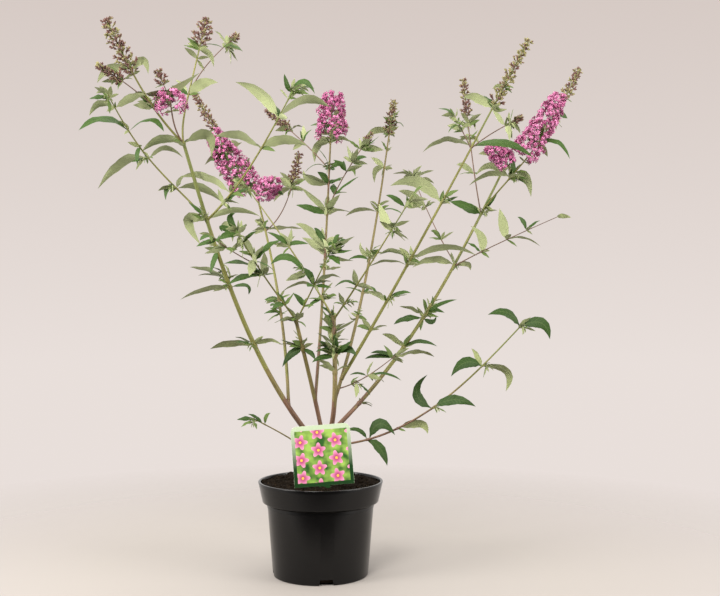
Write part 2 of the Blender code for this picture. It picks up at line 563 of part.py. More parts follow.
def place_leaf(space, key, node, row):
    """A leaf of the table, leaning further or nearer until it keeps to its space, or none."""
    seed = random.Random(key)
    lean = seed.uniform(*(NEAR_LEAN if row[5] < 0 else FAR_LEAN))
    twist = seed.uniform(-LEAF_TWIST, LEAF_TWIST)
    long = math.hypot(row[3], row[4])
    for size in LEAF_SIZES:
        for swing in LEAF_SWINGS:
            leaf = table_leaf(node, row, long * (lean + swing), size, twist)
            if space.holds(leaf.outline()):
                return leaf
    return None


def draw_leaf(seed, node, axis, turn, length, lean):
    """A small leaf of a sprig, turned about the sprig and lit from above, from its seed."""
    level = axis.cross(Vector((0, 1, 0))).normalized()
    out = Matrix.Rotation(math.radians(turn + seed.uniform(-SPRIG_STRAY, SPRIG_STRAY)), 3,
                          axis) @ level
    tilt = math.radians(lean + seed.uniform(-SPRIG_STRAY, SPRIG_STRAY))
    start = axis * math.cos(tilt) + out * math.sin(tilt)
    bearing = math.degrees(math.atan2(start.y, start.x))
    rise = math.degrees(math.asin(max(-1, min(1, start.z))))
    size = length * seed.uniform(*SPRIG_SIZES)
    droop = seed.uniform(*SPRIG_DROOP)
    points = grow(node, size, (bearing, bearing), (rise, rise - droop), LEAF_STEPS)
    lift = face_up((points[-1] - node).normalized(), seed.uniform(*SPRIG_SHOWN))
    return Leaf(points, lift, size * SPRIG_WIDTH, seed.uniform(-LEAF_TWIST, LEAF_TWIST))


class Space:
    """The room that one mass keeps to: nearer to its own limbs than to any other mass's."""

    def __init__(self, mass, masses, boughs):
        self.own = masses[mass]
        self.other = np.concatenate([rows for name, rows in masses.items() if name != mass])
        self.boughs = boughs

    def holds(self, places):
        """Whether all the places are in the room and clear of the boughs, label and pot."""
        if (reach(places, self.own) + SPACE_MARGIN > reach(places, self.other)).any():
            return False
        if (reach(places, self.boughs) < BOUGH_MARGIN).any():
            return False
        beside = np.abs(places[:, 0] - LABEL_CENTRE.x) < LABEL_WIDTH * 0.5 + LABEL_MARGIN
        before = places[:, 1] < LABEL_CENTRE.y + LABEL_BACK_MARGIN
        low = places[:, 2] < LABEL_CENTRE.z + LABEL_HEIGHT * 0.5 + LABEL_MARGIN
        over_pot = places[:, 2] < POT_HEIGHT + POT_MARGIN
        return not ((beside & before & low) | over_pot).any()


def grow_sprig(space, key, node, axis, turn, length):
    """A short shoot in a leaf's axil, with a pair of small leaves at its end."""
    seed = random.Random(key)
    stem = draw_leaf(seed, node, axis, turn, length, SPRIG_LEAN)
    foot, tip = stem.points[0], along(stem.points, SPRIG_STRAIGHT)
    path = [foot.lerp(tip, i / SPRIG_STEPS) for i in range(SPRIG_STEPS + 1)]
    if not space.holds(np.array(path[1:])):
        return None, []
    leaves = []
    for side in (0, 180):
        leaf = draw_leaf(seed, along(path, SPRIG_NODE), direction(path, SPRIG_NODE), side + 90,
                         length, LEAF_LEAN)
        if space.holds(leaf.outline()):
            leaves.append(leaf)
    return path, leaves


def grow_foliage(space, name, points):
    """The leaves and the sprigs of one limb."""
    leaves = []
    sprigs = []
    for i, row in enumerate(LEAVES.get(name, ())):
        key = f"{name}-{i}"
        node = along(points, row[0])
        leaves.append(place_leaf(space, key, node, row))
        seed = random.Random(key + "-sprig")
        if seed.random() < SPRIG_CHANCE:
            sprig, small = grow_sprig(space, key, node, direction(points, row[0]),
                                      seed.choice((90, 270)), seed.uniform(*SPRIG_LEAF))
            if sprig:
                sprigs.append(sprig)
                leaves += small
    return [leaf for leaf in leaves if leaf], sprigs


# ------------------------------------------------------------------ modelling tools

def empty_scene():
    """Remove what the file opens with."""
    for old in list(bpy.data.objects):
        bpy.data.objects.remove(old)


def finish(name):
    """The Principled material of a finish, made once."""
    if name in bpy.data.materials:
        return bpy.data.materials[name]
    colour, roughness, metallic = FINISHES[name]
    material = bpy.data.materials.new(name)
    material.use_nodes = True
    shader = material.node_tree.nodes["Principled BSDF"]
    shader.inputs["Base Color"].default_value = colour
    shader.inputs["Roughness"].default_value = roughness
    shader.inputs["Metallic"].default_value = metallic
    return material


def add_object(name, mesh):
    """A new object in the scene."""
    made = bpy.data.objects.new(name, mesh)
    bpy.context.scene.collection.objects.link(made)
    return made


def flatten(shape, weld=True):
    """Turn an object with its modifiers, or a curve, into a plain mesh object."""
    bpy.context.view_layer.update()
    seen = shape.evaluated_get(bpy.context.evaluated_depsgraph_get())
    mesh = bpy.data.meshes.new_from_object(seen)
    plain = add_object(shape.name + "_mesh", mesh)
    plain.matrix_world = shape.matrix_world.copy()
    bpy.data.objects.remove(shape)
    if not weld:
        return plain
    work = bmesh.new()
    work.from_mesh(mesh)
    bmesh.ops.remove_doubles(work, verts=work.verts, dist=WELD)
    bmesh.ops.recalc_face_normals(work, faces=work.faces)
    work.to_mesh(mesh)
    work.free()
    return plain


def section(sides):
    """The outline that a limb is drawn along its path with, made once for each count of sides."""
    name = f"section_{sides}"
    if name in bpy.data.objects:
        return bpy.data.objects[name]
    curve = bpy.data.curves.new(name, "CURVE")
    curve.dimensions = "2D"
    spline = curve.splines.new("POLY")
    spline.points.add(sides - 1)
    for i, control in enumerate(spline.points):
        turn = math.tau * i / sides
        control.co = (math.cos(turn), math.sin(turn), 0, 1)
    spline.use_cyclic_u = True
    outline = add_object(name, curve)
    outline.hide_render = True
    return outline


def tube(name, points, radii, sides):
    """A tapering limb along a path, with flat ends."""
    curve = bpy.data.curves.new(name, "CURVE")
    curve.dimensions = "3D"
    curve.bevel_mode = "OBJECT"
    curve.bevel_object = section(sides)
    curve.use_fill_caps = True
    spline = curve.splines.new("POLY")
    spline.points.add(len(points) - 1)
    for control, place, radius in zip(spline.points, points, radii):
        control.co = (*place, 1)
        control.radius = radius
    return flatten(add_object(name, curve))


def limb_tube(name, points, row, start, end, sides, swell=0.0):
    """The stretch of a limb between two shares of its length."""
    pieces = max(2, math.ceil(row.length * (end - start) / TUBE_STEP))
    shares = [mix((start, end), i / pieces) for i in range(pieces + 1)]
    nip = JOINT_NIP / row.length
    if start > 0:
        shares.insert(1, start + nip)
    if end < 1:
        shares.insert(-1, end - nip)
    places = [along(points, share) for share in shares]
    radii = [mix(row.radius, share) + swell for share in shares]
    return tube(name, places, radii, sides)


def loft(name, rings):
    """A closed skin over rings of points, where a ring of one point is an end."""
    work = bmesh.new()
    loops = [[work.verts.new(place) for place in ring] for ring in rings]
    for low, high in zip(loops, loops[1:]):
        count = max(len(low), len(high))
        for i in range(count):
            j = (i + 1) % count
            corners = [low[i % len(low)], low[j % len(low)], high[j % len(high)], high[i % len(high)]]
            work.faces.new(list(dict.fromkeys(corners)))
    bmesh.ops.triangulate(work, faces=work.faces)
    bmesh.ops.recalc_face_normals(work, faces=work.faces)
    mesh = bpy.data.meshes.new(name)
    work.to_mesh(mesh)
    work.free()
    return add_object(name, mesh)


def leaf_solid(name, leaf):
    """A leaf as a three-sided blade: two edges and a keel, on one ring or two."""
    shares = LONG_RINGS if leaf.length > LONG_LEAF else SHORT_RINGS
    root = (leaf.points[1] - leaf.points[0]).normalized() * LEAF_ROOT
    rings = [[leaf.points[0] - root]]
    for share in shares:
        place, across, up = leaf.frame(share)
        half = across * leaf.width * 0.5 * leaf_width(share)
        fold = up * leaf.length * LEAF_FOLD
        keel = up * leaf.length * LEAF_KEEL
        rings.append([place - half + fold, place - keel, place + half + fold])
    rings.append([leaf.points[-1]])
    return loft(name, rings)


def lump(name, foot, tip, half_width):
    """An eight-faced lump from one point to another."""
    work = bmesh.new()
    bmesh.ops.create_uvsphere(work, u_segments=4, v_segments=2, radius=1.0)
    axis = tip - foot
    turn = axis.to_track_quat("Z", "Y").to_matrix().to_4x4()
    size = Matrix.Diagonal((half_width, half_width, axis.length * 0.5, 1))
    bmesh.ops.transform(work, matrix=Matrix.Translation((foot + tip) * 0.5) @ turn @ size,
                        verts=work.verts)
    mesh = bpy.data.meshes.new(name)
    work.to_mesh(mesh)
    work.free()
    return add_object(name, mesh)


def combine(body, tools, operation, solver="EXACT"):
    """Apply one Boolean with a whole collection of tools, and remove the tools."""
    group = bpy.data.collections.new("tools")
    bpy.context.scene.collection.children.link(group)
    for tool in tools:
        for home in list(tool.users_collection):
            home.objects.unlink(tool)
        group.objects.link(tool)
    joint = body.modifiers.new("combine", "BOOLEAN")
    joint.operation = operation
    joint.operand_type = "COLLECTION"
    joint.collection = group
    joint.solver = solver
    name = body.name
    made = flatten(body, weld=False)
    made.name = name
    for tool in tools:
        bpy.data.objects.remove(tool)
    bpy.data.collections.remove(group)
    return made


def islands(work):
    """The separate closed skins of a mesh, as lists of faces."""
    left = set(work.faces)
    found = []
    while left:
        front = [left.pop()]
        island = list(front)
        while front:
            face = front.pop()
            for edge in face.edges:
                for near in edge.link_faces:
                    if near in left:
                        left.remove(near)
                        front.append(near)
                        island.append(near)
        found.append(island)
    return found


def keep_main_skin(body):
    """Drop loose scraps and fill sealed hollows: only the outermost skin stays."""
    work = bmesh.new()
    work.from_mesh(body.data)
    skins = sorted(islands(work), key=len)
    stray = [face for skin in skins[:-1] for face in skin]
    bmesh.ops.delete(work, geom=stray, context="FACES")
    work.to_mesh(body.data)
    work.free()


def name_part(body, name, material, group):
    """Give a finished solid its node's name, its material and its collection."""
    body.name = name
    body.data.name = name
    body.data.materials.clear()
    body.data.materials.append(finish(material))
    body.data.shade_smooth()
    body.data.set_sharp_from_angle(angle=math.radians(40))
    for old in list(body.users_collection):
        old.objects.unlink(body)
    group.objects.link(body)


# ------------------------------------------------------------------ pot, soil and label

def turned(name, profile, sides):
    """A solid of revolution about Z from a profile of radius and height."""
    mesh = bpy.data.meshes.new(name)
    mesh.from_pydata([(r, 0, z) for r, z in profile], [(i, i + 1) for i in range(len(profile) - 1)], [])
    shape = add_object(name, mesh)
    lathe = shape.modifiers.new("lathe", "SCREW")
    lathe.axis = "Z"
    lathe.steps = sides
    lathe.render_steps = sides
    lathe.use_merge_vertices = True
    lathe.merge_threshold = WELD
    return flatten(shape)


def pot_outer():
    """The pot's outer wall, from its foot up to the lip, as radius and height."""
    band_foot = POT_HEIGHT - POT_BAND_HEIGHT
    under_band = POT_RIM_RADIUS - POT_BAND_TAPER - POT_BAND_STEP
    return [
        (POT_FOOT_RADIUS, 0),
        (POT_FOOT_RADIUS + POT_EDGE * 0.5, POT_EDGE),
        (under_band, band_foot - POT_EDGE),
        (under_band + POT_BAND_STEP, band_foot),
        (POT_RIM_RADIUS - POT_LIP * 0.5, POT_HEIGHT - POT_LIP * 1.75),
        (POT_RIM_RADIUS, POT_HEIGHT - POT_LIP),
        (POT_RIM_RADIUS - POT_LIP * 0.3, POT_HEIGHT),
    ]


def pot_inner():
    """The pot's inner wall, from the lip down to its floor."""
    outer = pot_outer()
    wall = [(outer[6][0] - POT_WALL, POT_HEIGHT)]
    for radius, height in (outer[4], outer[3], outer[2]):
        wall.append((radius - POT_WALL, height))
    wall.append((outer[1][0] - POT_WALL, POT_FLOOR))
    return wall


def notch_cutter(name, bearing, grown):
    """The trapezoid block that opens one drainage notch at the pot's foot."""
    bpy.ops.mesh.primitive_cube_add(size=1)
    block = bpy.context.object
    block.name = name
    deep = NOTCH_DEPTH + NOTCH_OVERRUN
    for corner in block.data.vertices:
        high = corner.co.z > 0
        wide = NOTCH_WIDTH * (NOTCH_TAPER if high else 1) + 2 * grown
        corner.co.x = POT_FOOT_RADIUS - NOTCH_DEPTH + deep * (corner.co.x + 0.5) - grown
        corner.co.y *= wide
        corner.co.z = NOTCH_HEIGHT + grown if high else -NOTCH_OVERRUN
    block.data.transform(Matrix.Rotation(math.radians(bearing), 4, "Z"))
    block.hide_render = True
    block.display_type = "WIRE"
    return block


def notch_cutters(grown=0.0):
    """One cutter for each drainage notch."""
    step = 360 / NOTCH_COUNT
    return [notch_cutter(f"notch_{i}", NOTCH_BEARING + step * i, grown) for i in range(NOTCH_COUNT)]


def make_pot():
    """The pot: a thin turned shell with a flat floor, a rim band and drainage notches."""
    profile = [(0, POT_FLOOR)] + pot_inner()[::-1] + pot_outer()[::-1] + [(0, 0)]
    return combine(turned("pot", profile, POT_SIDES), notch_cutters(), "DIFFERENCE")


def make_soil():
    """The compost that fills the pot: lumpy on top, with a flat pad under the stem."""
    wall = [(r - CLEARANCE, z) for r, z in pot_inner()[1:]]
    high = wall[0][0]
    top = [(0, SOIL_HEIGHT), (SOIL_PAD_RADIUS, SOIL_HEIGHT)]
    top.append((high * 0.5, SOIL_HEIGHT + SOIL_MOUND))
    top.append((high - SOIL_SAG, SOIL_HEIGHT - SOIL_SAG))
    sides = [(r, z + CLEARANCE) for r, z in wall[1:]]
    body = turned("soil", top + sides + [(0, POT_FLOOR + CLEARANCE)], POT_SIDES)
    seed = random.Random("compost")
    for corner in body.data.vertices:
        out = math.hypot(corner.co.x, corner.co.y)
        loose = SOIL_PAD_RADIUS * 1.2 < out < high - 2 * SOIL_SAG
        if loose and corner.co.z > SOIL_HEIGHT - SOIL_SAG:
            corner.co.z += seed.uniform(*SOIL_LUMPS)
    slot = label_shape("slot", CLEARANCE)
    return combine(body, notch_cutters(CLEARANCE) + [slot], "DIFFERENCE")


def label_outline(grown):
    """The label's outline: a rounded plate with a pointed stake below it."""
    wide = LABEL_WIDTH * 0.5 + grown
    high = LABEL_HEIGHT * 0.5 + grown
    stake = STAKE_WIDTH * 0.5 + grown
    points = []
    for corner, start in ((1, 0), (-1, 90)):
        for i in range(LABEL_CORNER_STEPS + 1):
            angle = math.radians(start + 90 * i / LABEL_CORNER_STEPS)
            points.append((corner * (wide - LABEL_CORNER) + LABEL_CORNER * math.cos(angle),
                           high - LABEL_CORNER + LABEL_CORNER * math.sin(angle)))
    shoulder = -high - STAKE_LENGTH * STAKE_SHOULDER
    points += [(-wide, -high), (-stake, -high), (-stake, shoulder)]
    points += [(0, -high - STAKE_LENGTH - grown)]
    points += [(stake, shoulder), (stake, -high), (wide, -high)]
    return points


def label_shape(name, grown=0.0):
    """The label as a flat plate, in its place in the soil."""
    curve = bpy.data.curves.new(name, "CURVE")
    curve.dimensions = "2D"
    curve.fill_mode = "BOTH"
    curve.extrude = LABEL_THICKNESS * 0.5 + grown
    outline = label_outline(grown)
    spline = curve.splines.new("POLY")
    spline.points.add(len(outline) - 1)
    for control, (x, y) in zip(spline.points, outline):
        control.co = (x, y, 0, 1)
    spline.use_cyclic_u = True
    plate = flatten(add_object(name, curve))
    turn = Matrix.Rotation(math.radians(-LABEL_ROLL), 4, "Y") @ Matrix.Rotation(
        math.radians(90 - LABEL_LEAN), 4, "X")
    plate.data.transform(Matrix.Translation(LABEL_CENTRE) @ turn)
    plate.name = name
    return plate


# ------------------------------------------------------------------ the bush

def make_trunk(points, swell=0.0):
    """The short stem, from its flat foot to the fork where the boughs leave it."""
    radii = [stem_radius(share) + swell for share in STEM_SHARES]
    radii[-1] *= STEM_CROWN
    places = [along(points, share) for share in STEM_SHARES]
    return tube("trunk", places, radii, STEM_SIDES)


def make_bough(mass, paths):
    """One bough, its foot saddled on what carries it and clear of the earlier boughs."""
    split, rows = MASSES[mass]
    bough = limb_tube("bough", paths[mass], rows[mass], 0.0, split, BOUGH_SIDES)
    tools = [make_trunk(paths["trunk"], CLEARANCE)]
    for other in BOUGHS[:BOUGHS.index(mass)]:
        other_split, other_rows = MASSES[other]
        tools.append(limb_tube(other, paths[other], other_rows[other], 0.0, other_split,
                               BOUGH_SIDES, CLEARANCE))
    bough = combine(bough, tools, "DIFFERENCE")
    keep_main_skin(bough)
    return bough


def beside(points, share, aside):
    """The place at a share of a limb, or off it to the left of its direction."""
    axis = direction(points, share)
    return along(points, share) + axis.cross(Vector((0, 1, 0))).normalized() * aside


def bloom_cone(name, points, start, end, radius, aside):
    """A plump cone of blossom round a limb, closed at both ends and lumpy between."""
    seed = random.Random(f"{name}-{start}")
    rings = [[along(points, start)]]
    for ring in range(BLOOM_RINGS):
        part = (ring + 0.5) / BLOOM_RINGS
        share = mix((start, end), part)
        axis = direction(points, share)
        level = axis.orthogonal().normalized()
        size = radius * head_profile("bloom", part)
        corners = []
        for i in range(BLOOM_SIDES):
            turn = math.tau * (i + 0.5 * (ring % 2)) / BLOOM_SIDES
            out = Matrix.Rotation(turn, 3, axis) @ level
            corners.append(beside(points, share, aside) + out * size * seed.uniform(*BLOOM_LUMP))
        rings.append(corners)
    rings.append([beside(points, end, aside) + direction(points, end) * BLOOM_CROWN])
    return loft("bloom", rings)


def bud_lumps(points, start, end, radius, length):
    """A slender spike of buds: pairs of small lumps that shorten towards the tip."""
    count = max(2, round(length * (end - start) / BUD_STEP))
    lumps = []
    for i in range(count):
        part = i / count
        share = mix((start, end), part)
        axis = direction(points, share)
        level = axis.orthogonal().normalized()
        size = radius * head_profile("buds", part)
        for side in (0, 180):
            out = Matrix.Rotation(math.radians(90 * i + side), 3, axis) @ level
            foot = along(points, share) - out * size * BUD_SINK
            lumps.append(lump(f"bud_{i}_{side}", foot, foot + (out + axis * BUD_RISE) * size,
                              BUD_WIDTH + size * BUD_SPREAD))
    tip = along(points, end)
    crown = direction(points, end) * BUD_CROWN
    lumps.append(lump("bud_tip", tip - crown, tip + crown * BUD_SINK, BUD_WIDTH))
    return lumps


def make_foliage(mass, paths, masses, boughs):
    """One mass: its stem, side limbs, sprigs, leaves and flower heads, fused."""
    split, rows = MASSES[mass]
    space = Space(mass, masses, boughs)
    start = split + CLEARANCE / rows[mass].length if split else 0.0
    body = limb_tube("mass", paths[mass], rows[mass], start, 1.0, LIMB_SIDES)
    if not split:
        parent = rows[mass].parent
        carrier = limb_tube("carrier", paths[parent], LIMBS[parent], 0.0, MASSES[parent][0],
                            BOUGH_SIDES, CLEARANCE)
        body = combine(body, [carrier], "DIFFERENCE")
        keep_main_skin(body)
    tools = []
    for name, row in rows.items():
        points = paths[name]
        if name != mass:
            tools.append(limb_tube(name, points, row, 0.0, 1.0, TWIG_SIDES))
        leaves, sprigs = grow_foliage(space, name, points)
        tools += [leaf_solid(f"leaf_{i}", leaf) for i, leaf in enumerate(leaves)]
        for i, path in enumerate(sprigs):
            tools.append(tube(f"sprig_{i}", path[::2], SPRIG_RADII, TWIG_SIDES))
        for kind, first, last, radius, aside in row.heads:
            if kind == "bloom":
                tools.append(bloom_cone(name, points, first, last, radius, aside))
            if kind == "buds":
                tools += bud_lumps(points, first, last, radius, row.length)
    body = combine(body, tools, "UNION", "MANIFOLD")
    keep_main_skin(body)
    return body


def main():
    """Build every part of the potted bush."""
    empty_scene()
    group = bpy.data.collections.new("potted_butterfly_bush")
    bpy.context.scene.collection.children.link(group)
    paths = grow_limbs()
    masses, boughs = survey(paths)
    name_part(make_pot(), "pot", "pot", group)
    name_part(make_soil(), "soil", "soil", group)
    name_part(label_shape("label"), "label", "label", group)
    name_part(make_trunk(paths["trunk"]), "trunk", "bark", group)
    for mass in BOUGHS:
        name_part(make_bough(mass, paths), "bough_" + mass, "cane", group)
    for mass in MASSES:
        name_part(make_foliage(mass, paths, masses, boughs), "foliage_" + mass, "leaf", group)


main()
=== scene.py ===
"""A butterfly bush in a nursery pot: the pot, compost, label, bark, leaves and blossom.

The file is laid out as an add-on: settings, one operator for each piece or group of like
pieces, one for the stage, and a sidebar panel. Metres, +Z up, the bush facing -Y. A bearing
is 0 along +X and 90 along +Y, and a rise is above level, both in degrees.
"""

import json
import math
import random
from collections import namedtuple

import bmesh
import bpy
import numpy as np
from bpy.props import FloatProperty, FloatVectorProperty, IntProperty, PointerProperty
from mathutils import Matrix, Vector, noise

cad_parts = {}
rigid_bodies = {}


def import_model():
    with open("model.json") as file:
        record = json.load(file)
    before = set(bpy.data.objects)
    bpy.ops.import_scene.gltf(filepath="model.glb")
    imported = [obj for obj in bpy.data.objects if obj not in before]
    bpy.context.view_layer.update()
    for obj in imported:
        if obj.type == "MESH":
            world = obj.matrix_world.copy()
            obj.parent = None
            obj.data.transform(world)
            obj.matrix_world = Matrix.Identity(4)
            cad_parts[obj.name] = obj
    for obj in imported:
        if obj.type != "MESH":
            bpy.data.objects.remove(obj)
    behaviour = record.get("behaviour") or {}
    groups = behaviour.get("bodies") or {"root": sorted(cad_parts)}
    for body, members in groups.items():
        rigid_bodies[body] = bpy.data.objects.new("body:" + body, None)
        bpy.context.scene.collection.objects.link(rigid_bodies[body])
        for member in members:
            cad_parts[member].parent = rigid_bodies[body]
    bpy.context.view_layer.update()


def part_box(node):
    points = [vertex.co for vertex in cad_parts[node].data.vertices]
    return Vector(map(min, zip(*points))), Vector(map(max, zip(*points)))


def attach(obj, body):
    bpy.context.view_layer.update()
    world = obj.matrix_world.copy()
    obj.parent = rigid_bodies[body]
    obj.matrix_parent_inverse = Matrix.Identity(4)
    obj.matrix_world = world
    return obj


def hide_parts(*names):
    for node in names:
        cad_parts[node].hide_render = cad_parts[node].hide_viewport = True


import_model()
POT_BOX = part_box("pot")

bl_info = {
    "name": "Potted Butterfly Bush",
    "version": (1, 0, 0),
    "blender": (4, 5, 0),
    "location": "3D View > Sidebar > Bush",
    "description": "Grows a butterfly bush in its pot, piece by piece",
    "category": "Object",
}

# Sizes are in metres, unless they are shares, degrees or counts
CLEARANCE = 0.0003
MILLIMETRE = 0.001

# The trunk
STEM_LENGTH = 0.072
STEM_RADIUS = 0.0105
STEM_FLARE = 0.0055
STEM_FLARE_EASE = 9
STEM_TAPER = 0.12
STEM_CROWN = 0.74
STEM_BEARING = (40, 40)
STEM_RISE = (90, 82)

# The limbs, and how clear a mass keeps of the boughs, the pot and the label
LIMB_STEPS = 24
NEAR_SHARE = 0.02
SPACE_MARGIN = 0.0012
BOUGH_MARGIN = 0.0035
POT_MARGIN = 0.010
LABEL_MARGIN = 0.008
LABEL_BACK_MARGIN = 0.012

# The leaves of the table
LEAF_WIDEST = 0.29
LEAF_LEAST_SHOWN = 0.4
LEAF_TWIST = 22
LEAF_LEAN = 50
LEAF_STEPS = 8
FAR_LEAN = (0.05, 0.50)
NEAR_LEAN = (-0.50, -0.15)
LEAF_SWINGS = (0, 0.3, -0.3, 0.6, -0.6, 0.9, -0.9)
LEAF_SIZES = (1, 0.8, 0.6)

# The sprigs, with their finer pairs as share, leaf size and lean
FINE_SPRIG_CHANCE = 0.35
SPRIG_LEAF = (0.016, 0.028)
SPRIG_STEPS = 4
SPRIG_STRAIGHT = 0.6
SPRIG_NODE = 0.92
SPRIG_LEAN = 38
SPRIG_WIDTH = 0.34
SPRIG_STRAY = 12
SPRIG_SIZES = (0.85, 1.15)
SPRIG_DROOP = (20, 55)
SPRIG_SHOWN = (-0.7, 0.7)
SPRIG_PAIRS = ((0.55, 0.50, 48), (0.99, 0.45, 24))

# The small leaves: how many stand in an axil and how long they are, by mass, then below
# blossom and at the tips
SIDES = (0, 180)
AXIL_GROWTH = {"centre_back": (1.6, 0.016, 0.038), "west_inner": (1.6, 0.014, 0.034),
               "centre": (1.6, 0.016, 0.040), "middle": (1.6, 0.014, 0.036),
               "low_east": (0.3, 0.008, 0.016), "low_west": (0.0, 0.006, 0.010)}
AXIL_OTHERWISE = (1.1, 0.012, 0.028)
AXIL_LEAN = 40
AXIL_SWING = 70
SMALL_SHOWN = (0.40, 0.95)
BLOOM_LEAVES = 5
BRACT_LEAF = 0.012
BRACT_PLACES = (0.1, 0.8)
BRACT_SIZES = (1.2, 1.6)
BRACT_SWING = 60
TIP_NODE = 0.99
TIP_LEAVES = ((0, 0.026, 12), (90, 0.018, 35), (270, 0.018, 35))

# The tints of leaves, by age and, low on the bush, by painted shade, the pieces they come in, and
# their veins
AGE_AND_SHADE_TINTS = ("dark", "mid", "young")
SHADED_LEAF_HEIGHT = 0.395
YOUNG_LEAF = 0.026
LEAF_PIECES = {"west": ("west", "west_inner", "low_west"),
               "middle": ("centre", "centre_back", "middle", "low_shoot"),
               "east": ("back_east", "tall_east", "east", "low_east")}
VEIN_PAIRS = 11

# How a blade is folded, curled and waved, how fast its waves come and where they start
BLADE_BENDS = ((0.10, 0.34), (0.10, 0.42), (0.02, 0.09), (1.6, 2.9), (0, math.tau))
BLADE_TOOTH = 0.035
BLADE_EDGE = 0.00002

# Blossom, and its share of deep florets
BLOOM_TAPER = 0.45
CYME_STEP = 0.0078
CYME_FLORETS = 9
CYME_SIZES = (0.88, 1.10)
CYME_REACH = 0.42
CYME_RISE = 0.12
CYME_UPWARD = 0.30
CYME_STRAY = 0.85
CYME_RADIUS = 0.55
CYME_DEPTHS = (0.80, 1.04)
FLORET_SEED = 11
FRESH_BLOOMS = {"centre_back"}
FRESH_DEEP = 0.62
OPEN_DEEP = 0.22
TIP_DEEP = 0.25

# Buds, the share of olive ones from foot to tip, and how full their spikes are
BUD_TAPER = 0.6
BUD_STEP = 0.0052
BUD_CROWDING = 0.0019
BUD_SEED = 23
OLIVE = {"west_spike": (0.55, 0.40), "tall_east": (0.35, 0.95), "back_east": (0.25, 0.55),
         "east_bloom": (0.45, 0.95), "east_spike": (0.10, 0.40), "west_tall_spike": (0.0, 0.05)}
OLIVE_OTHERWISE = (0.05, 0.20)
FULL_OTHERWISE = 1.1
FULL_SPIKES = {"west_tall_spike": 1.35, "west_bud": 1.4, "west_side_spike": 1.2}

# Canes, which swell at their nodes and forks
NODE_WIDTH = 0.0017
NODE_SWELL = 0.35
FORK_WIDTH = 0.0045
FORK_SWELL = 0.35
BARK_STEP = 0.0030
TWIG_STEP = 0.0060
THIN_SHOOT = 0.0013
WOOD_HEIGHT = (0.245, 0.335)
WOODY_RADIUS = 0.0022
SPRIG_RADIUS = (0.0009, 0.0005)
BRANCHLET_RADII = (0.0005, 0.0004, 0.0003)
CANE_OFFSET = 0.37

# The tones of a cane run from 0, old bark, by 2, green, to 4, a red-brown shoot
TONES = 5
CANE_TONE = 2.0
TIP_TONE = 1.1
SPRIG_TONE = 3.0
OLIVE_TONE = 3.2
SHOOT_TONE = 4.2
BROWN_CANES = {"middle": 0.7, "back_east": 0.9, "centre_back": 0.7, "west_inner": 1.6,
               "centre": 1.4}

# The pot and the compost
POT_SIDES = 128
POT_WALL = 0.002
POT_LIP = 0.0011
POT_FLOOR = 0.0035
POT_TAPER = 0.023
POT_WAIST = 0.0135
POT_BAND_HEIGHT = 0.031
NOTCH_WIDTH = 0.026
NOTCH_HEIGHT = 0.009
NOTCH_DEPTH = 0.014
NOTCH_TAPER = 0.70
NOTCH_BEARING = -81
NOTCH_COUNT = 4
SOIL_HEIGHT = 0.134
COMPOST_RINGS = 40

# The compost's mound at the stem, its lumps as how fine and how high, its bank at the wall
# and its heap before the label. A run is where a rise starts and how far it goes
SOIL_MOUND = 0.002
MOUND_RADIUS = 0.09
SOIL_RISE = 0.0006
SOIL_LUMPS = ((90, 0.0036), (300, 0.0018))
CALM_RUN = (0.014, 0.012)
BANK_HEIGHT = 0.004
BANK_RUN = (0.066, 0.016)
BANK_FRONT = -0.02
BANK_LOW = 0.4
HEAP_OFFSET = Vector((0, -0.008))
HEAP_HEIGHT = 0.0075
HEAP_WIDTH = 0.036
HEAP_DEPTH = 0.011

# The label
LABEL_WIDTH = 0.087
LABEL_HEIGHT = 0.088
LABEL_THICKNESS = 0.0006
LABEL_CORNER = 0.009
LABEL_CENTRE = Vector((0.005, -0.070, 0.190))
LABEL_ROLL = 4.8
LABEL_LEAN = 3
STAKE_WIDTH = 0.016
STAKE_LENGTH = 0.040
ROSETTE_COLUMNS = 3.4

# The studio
CAMERA_PLACE = (0.06, -1.53, 0.40)
CAMERA_TILT = 0.75
CAMERA_LENS = 50
FLOOR_FADE = (0.35, 1.10)
FLOOR_FRONT = (-0.30, -0.15)
BACKDROP_TOP = (0.53, 0.44, 0.40)
WORLD_LIGHT = (0.08, 1.0)
LIGHT_AIM = Vector((0.02, 0, 0.40))
LIGHT_TINT = (1.0, 0.97, 0.93)
LIGHTS = (("key", (-1.8, -1.0, 1.0), 1.2, 50), ("fill", (1.9, -0.9, 0.7), 1.3, 40),
          ("front", (-0.5, -1.9, 2.0), 1.0, 58), ("top", (0.1, 0.3, 2.2), 1.6, 16))
Limb = namedtuple("Limb", "parent share length bearing rise radius heads")


def limb(parent, share, length, bearing, rise, radius, heads=()):
    """One row of the growth table.

    It springs from its parent at a share of the parent's length. Bearing, rise and radius run
    from foot to tip. Heads are the blossom and buds it carries: a kind, the shares they run
    between, their radius, and how far a blossom leans off its limb to the limb's left.
    """
    return Limb(parent, share, length, bearing, rise, radius, heads)


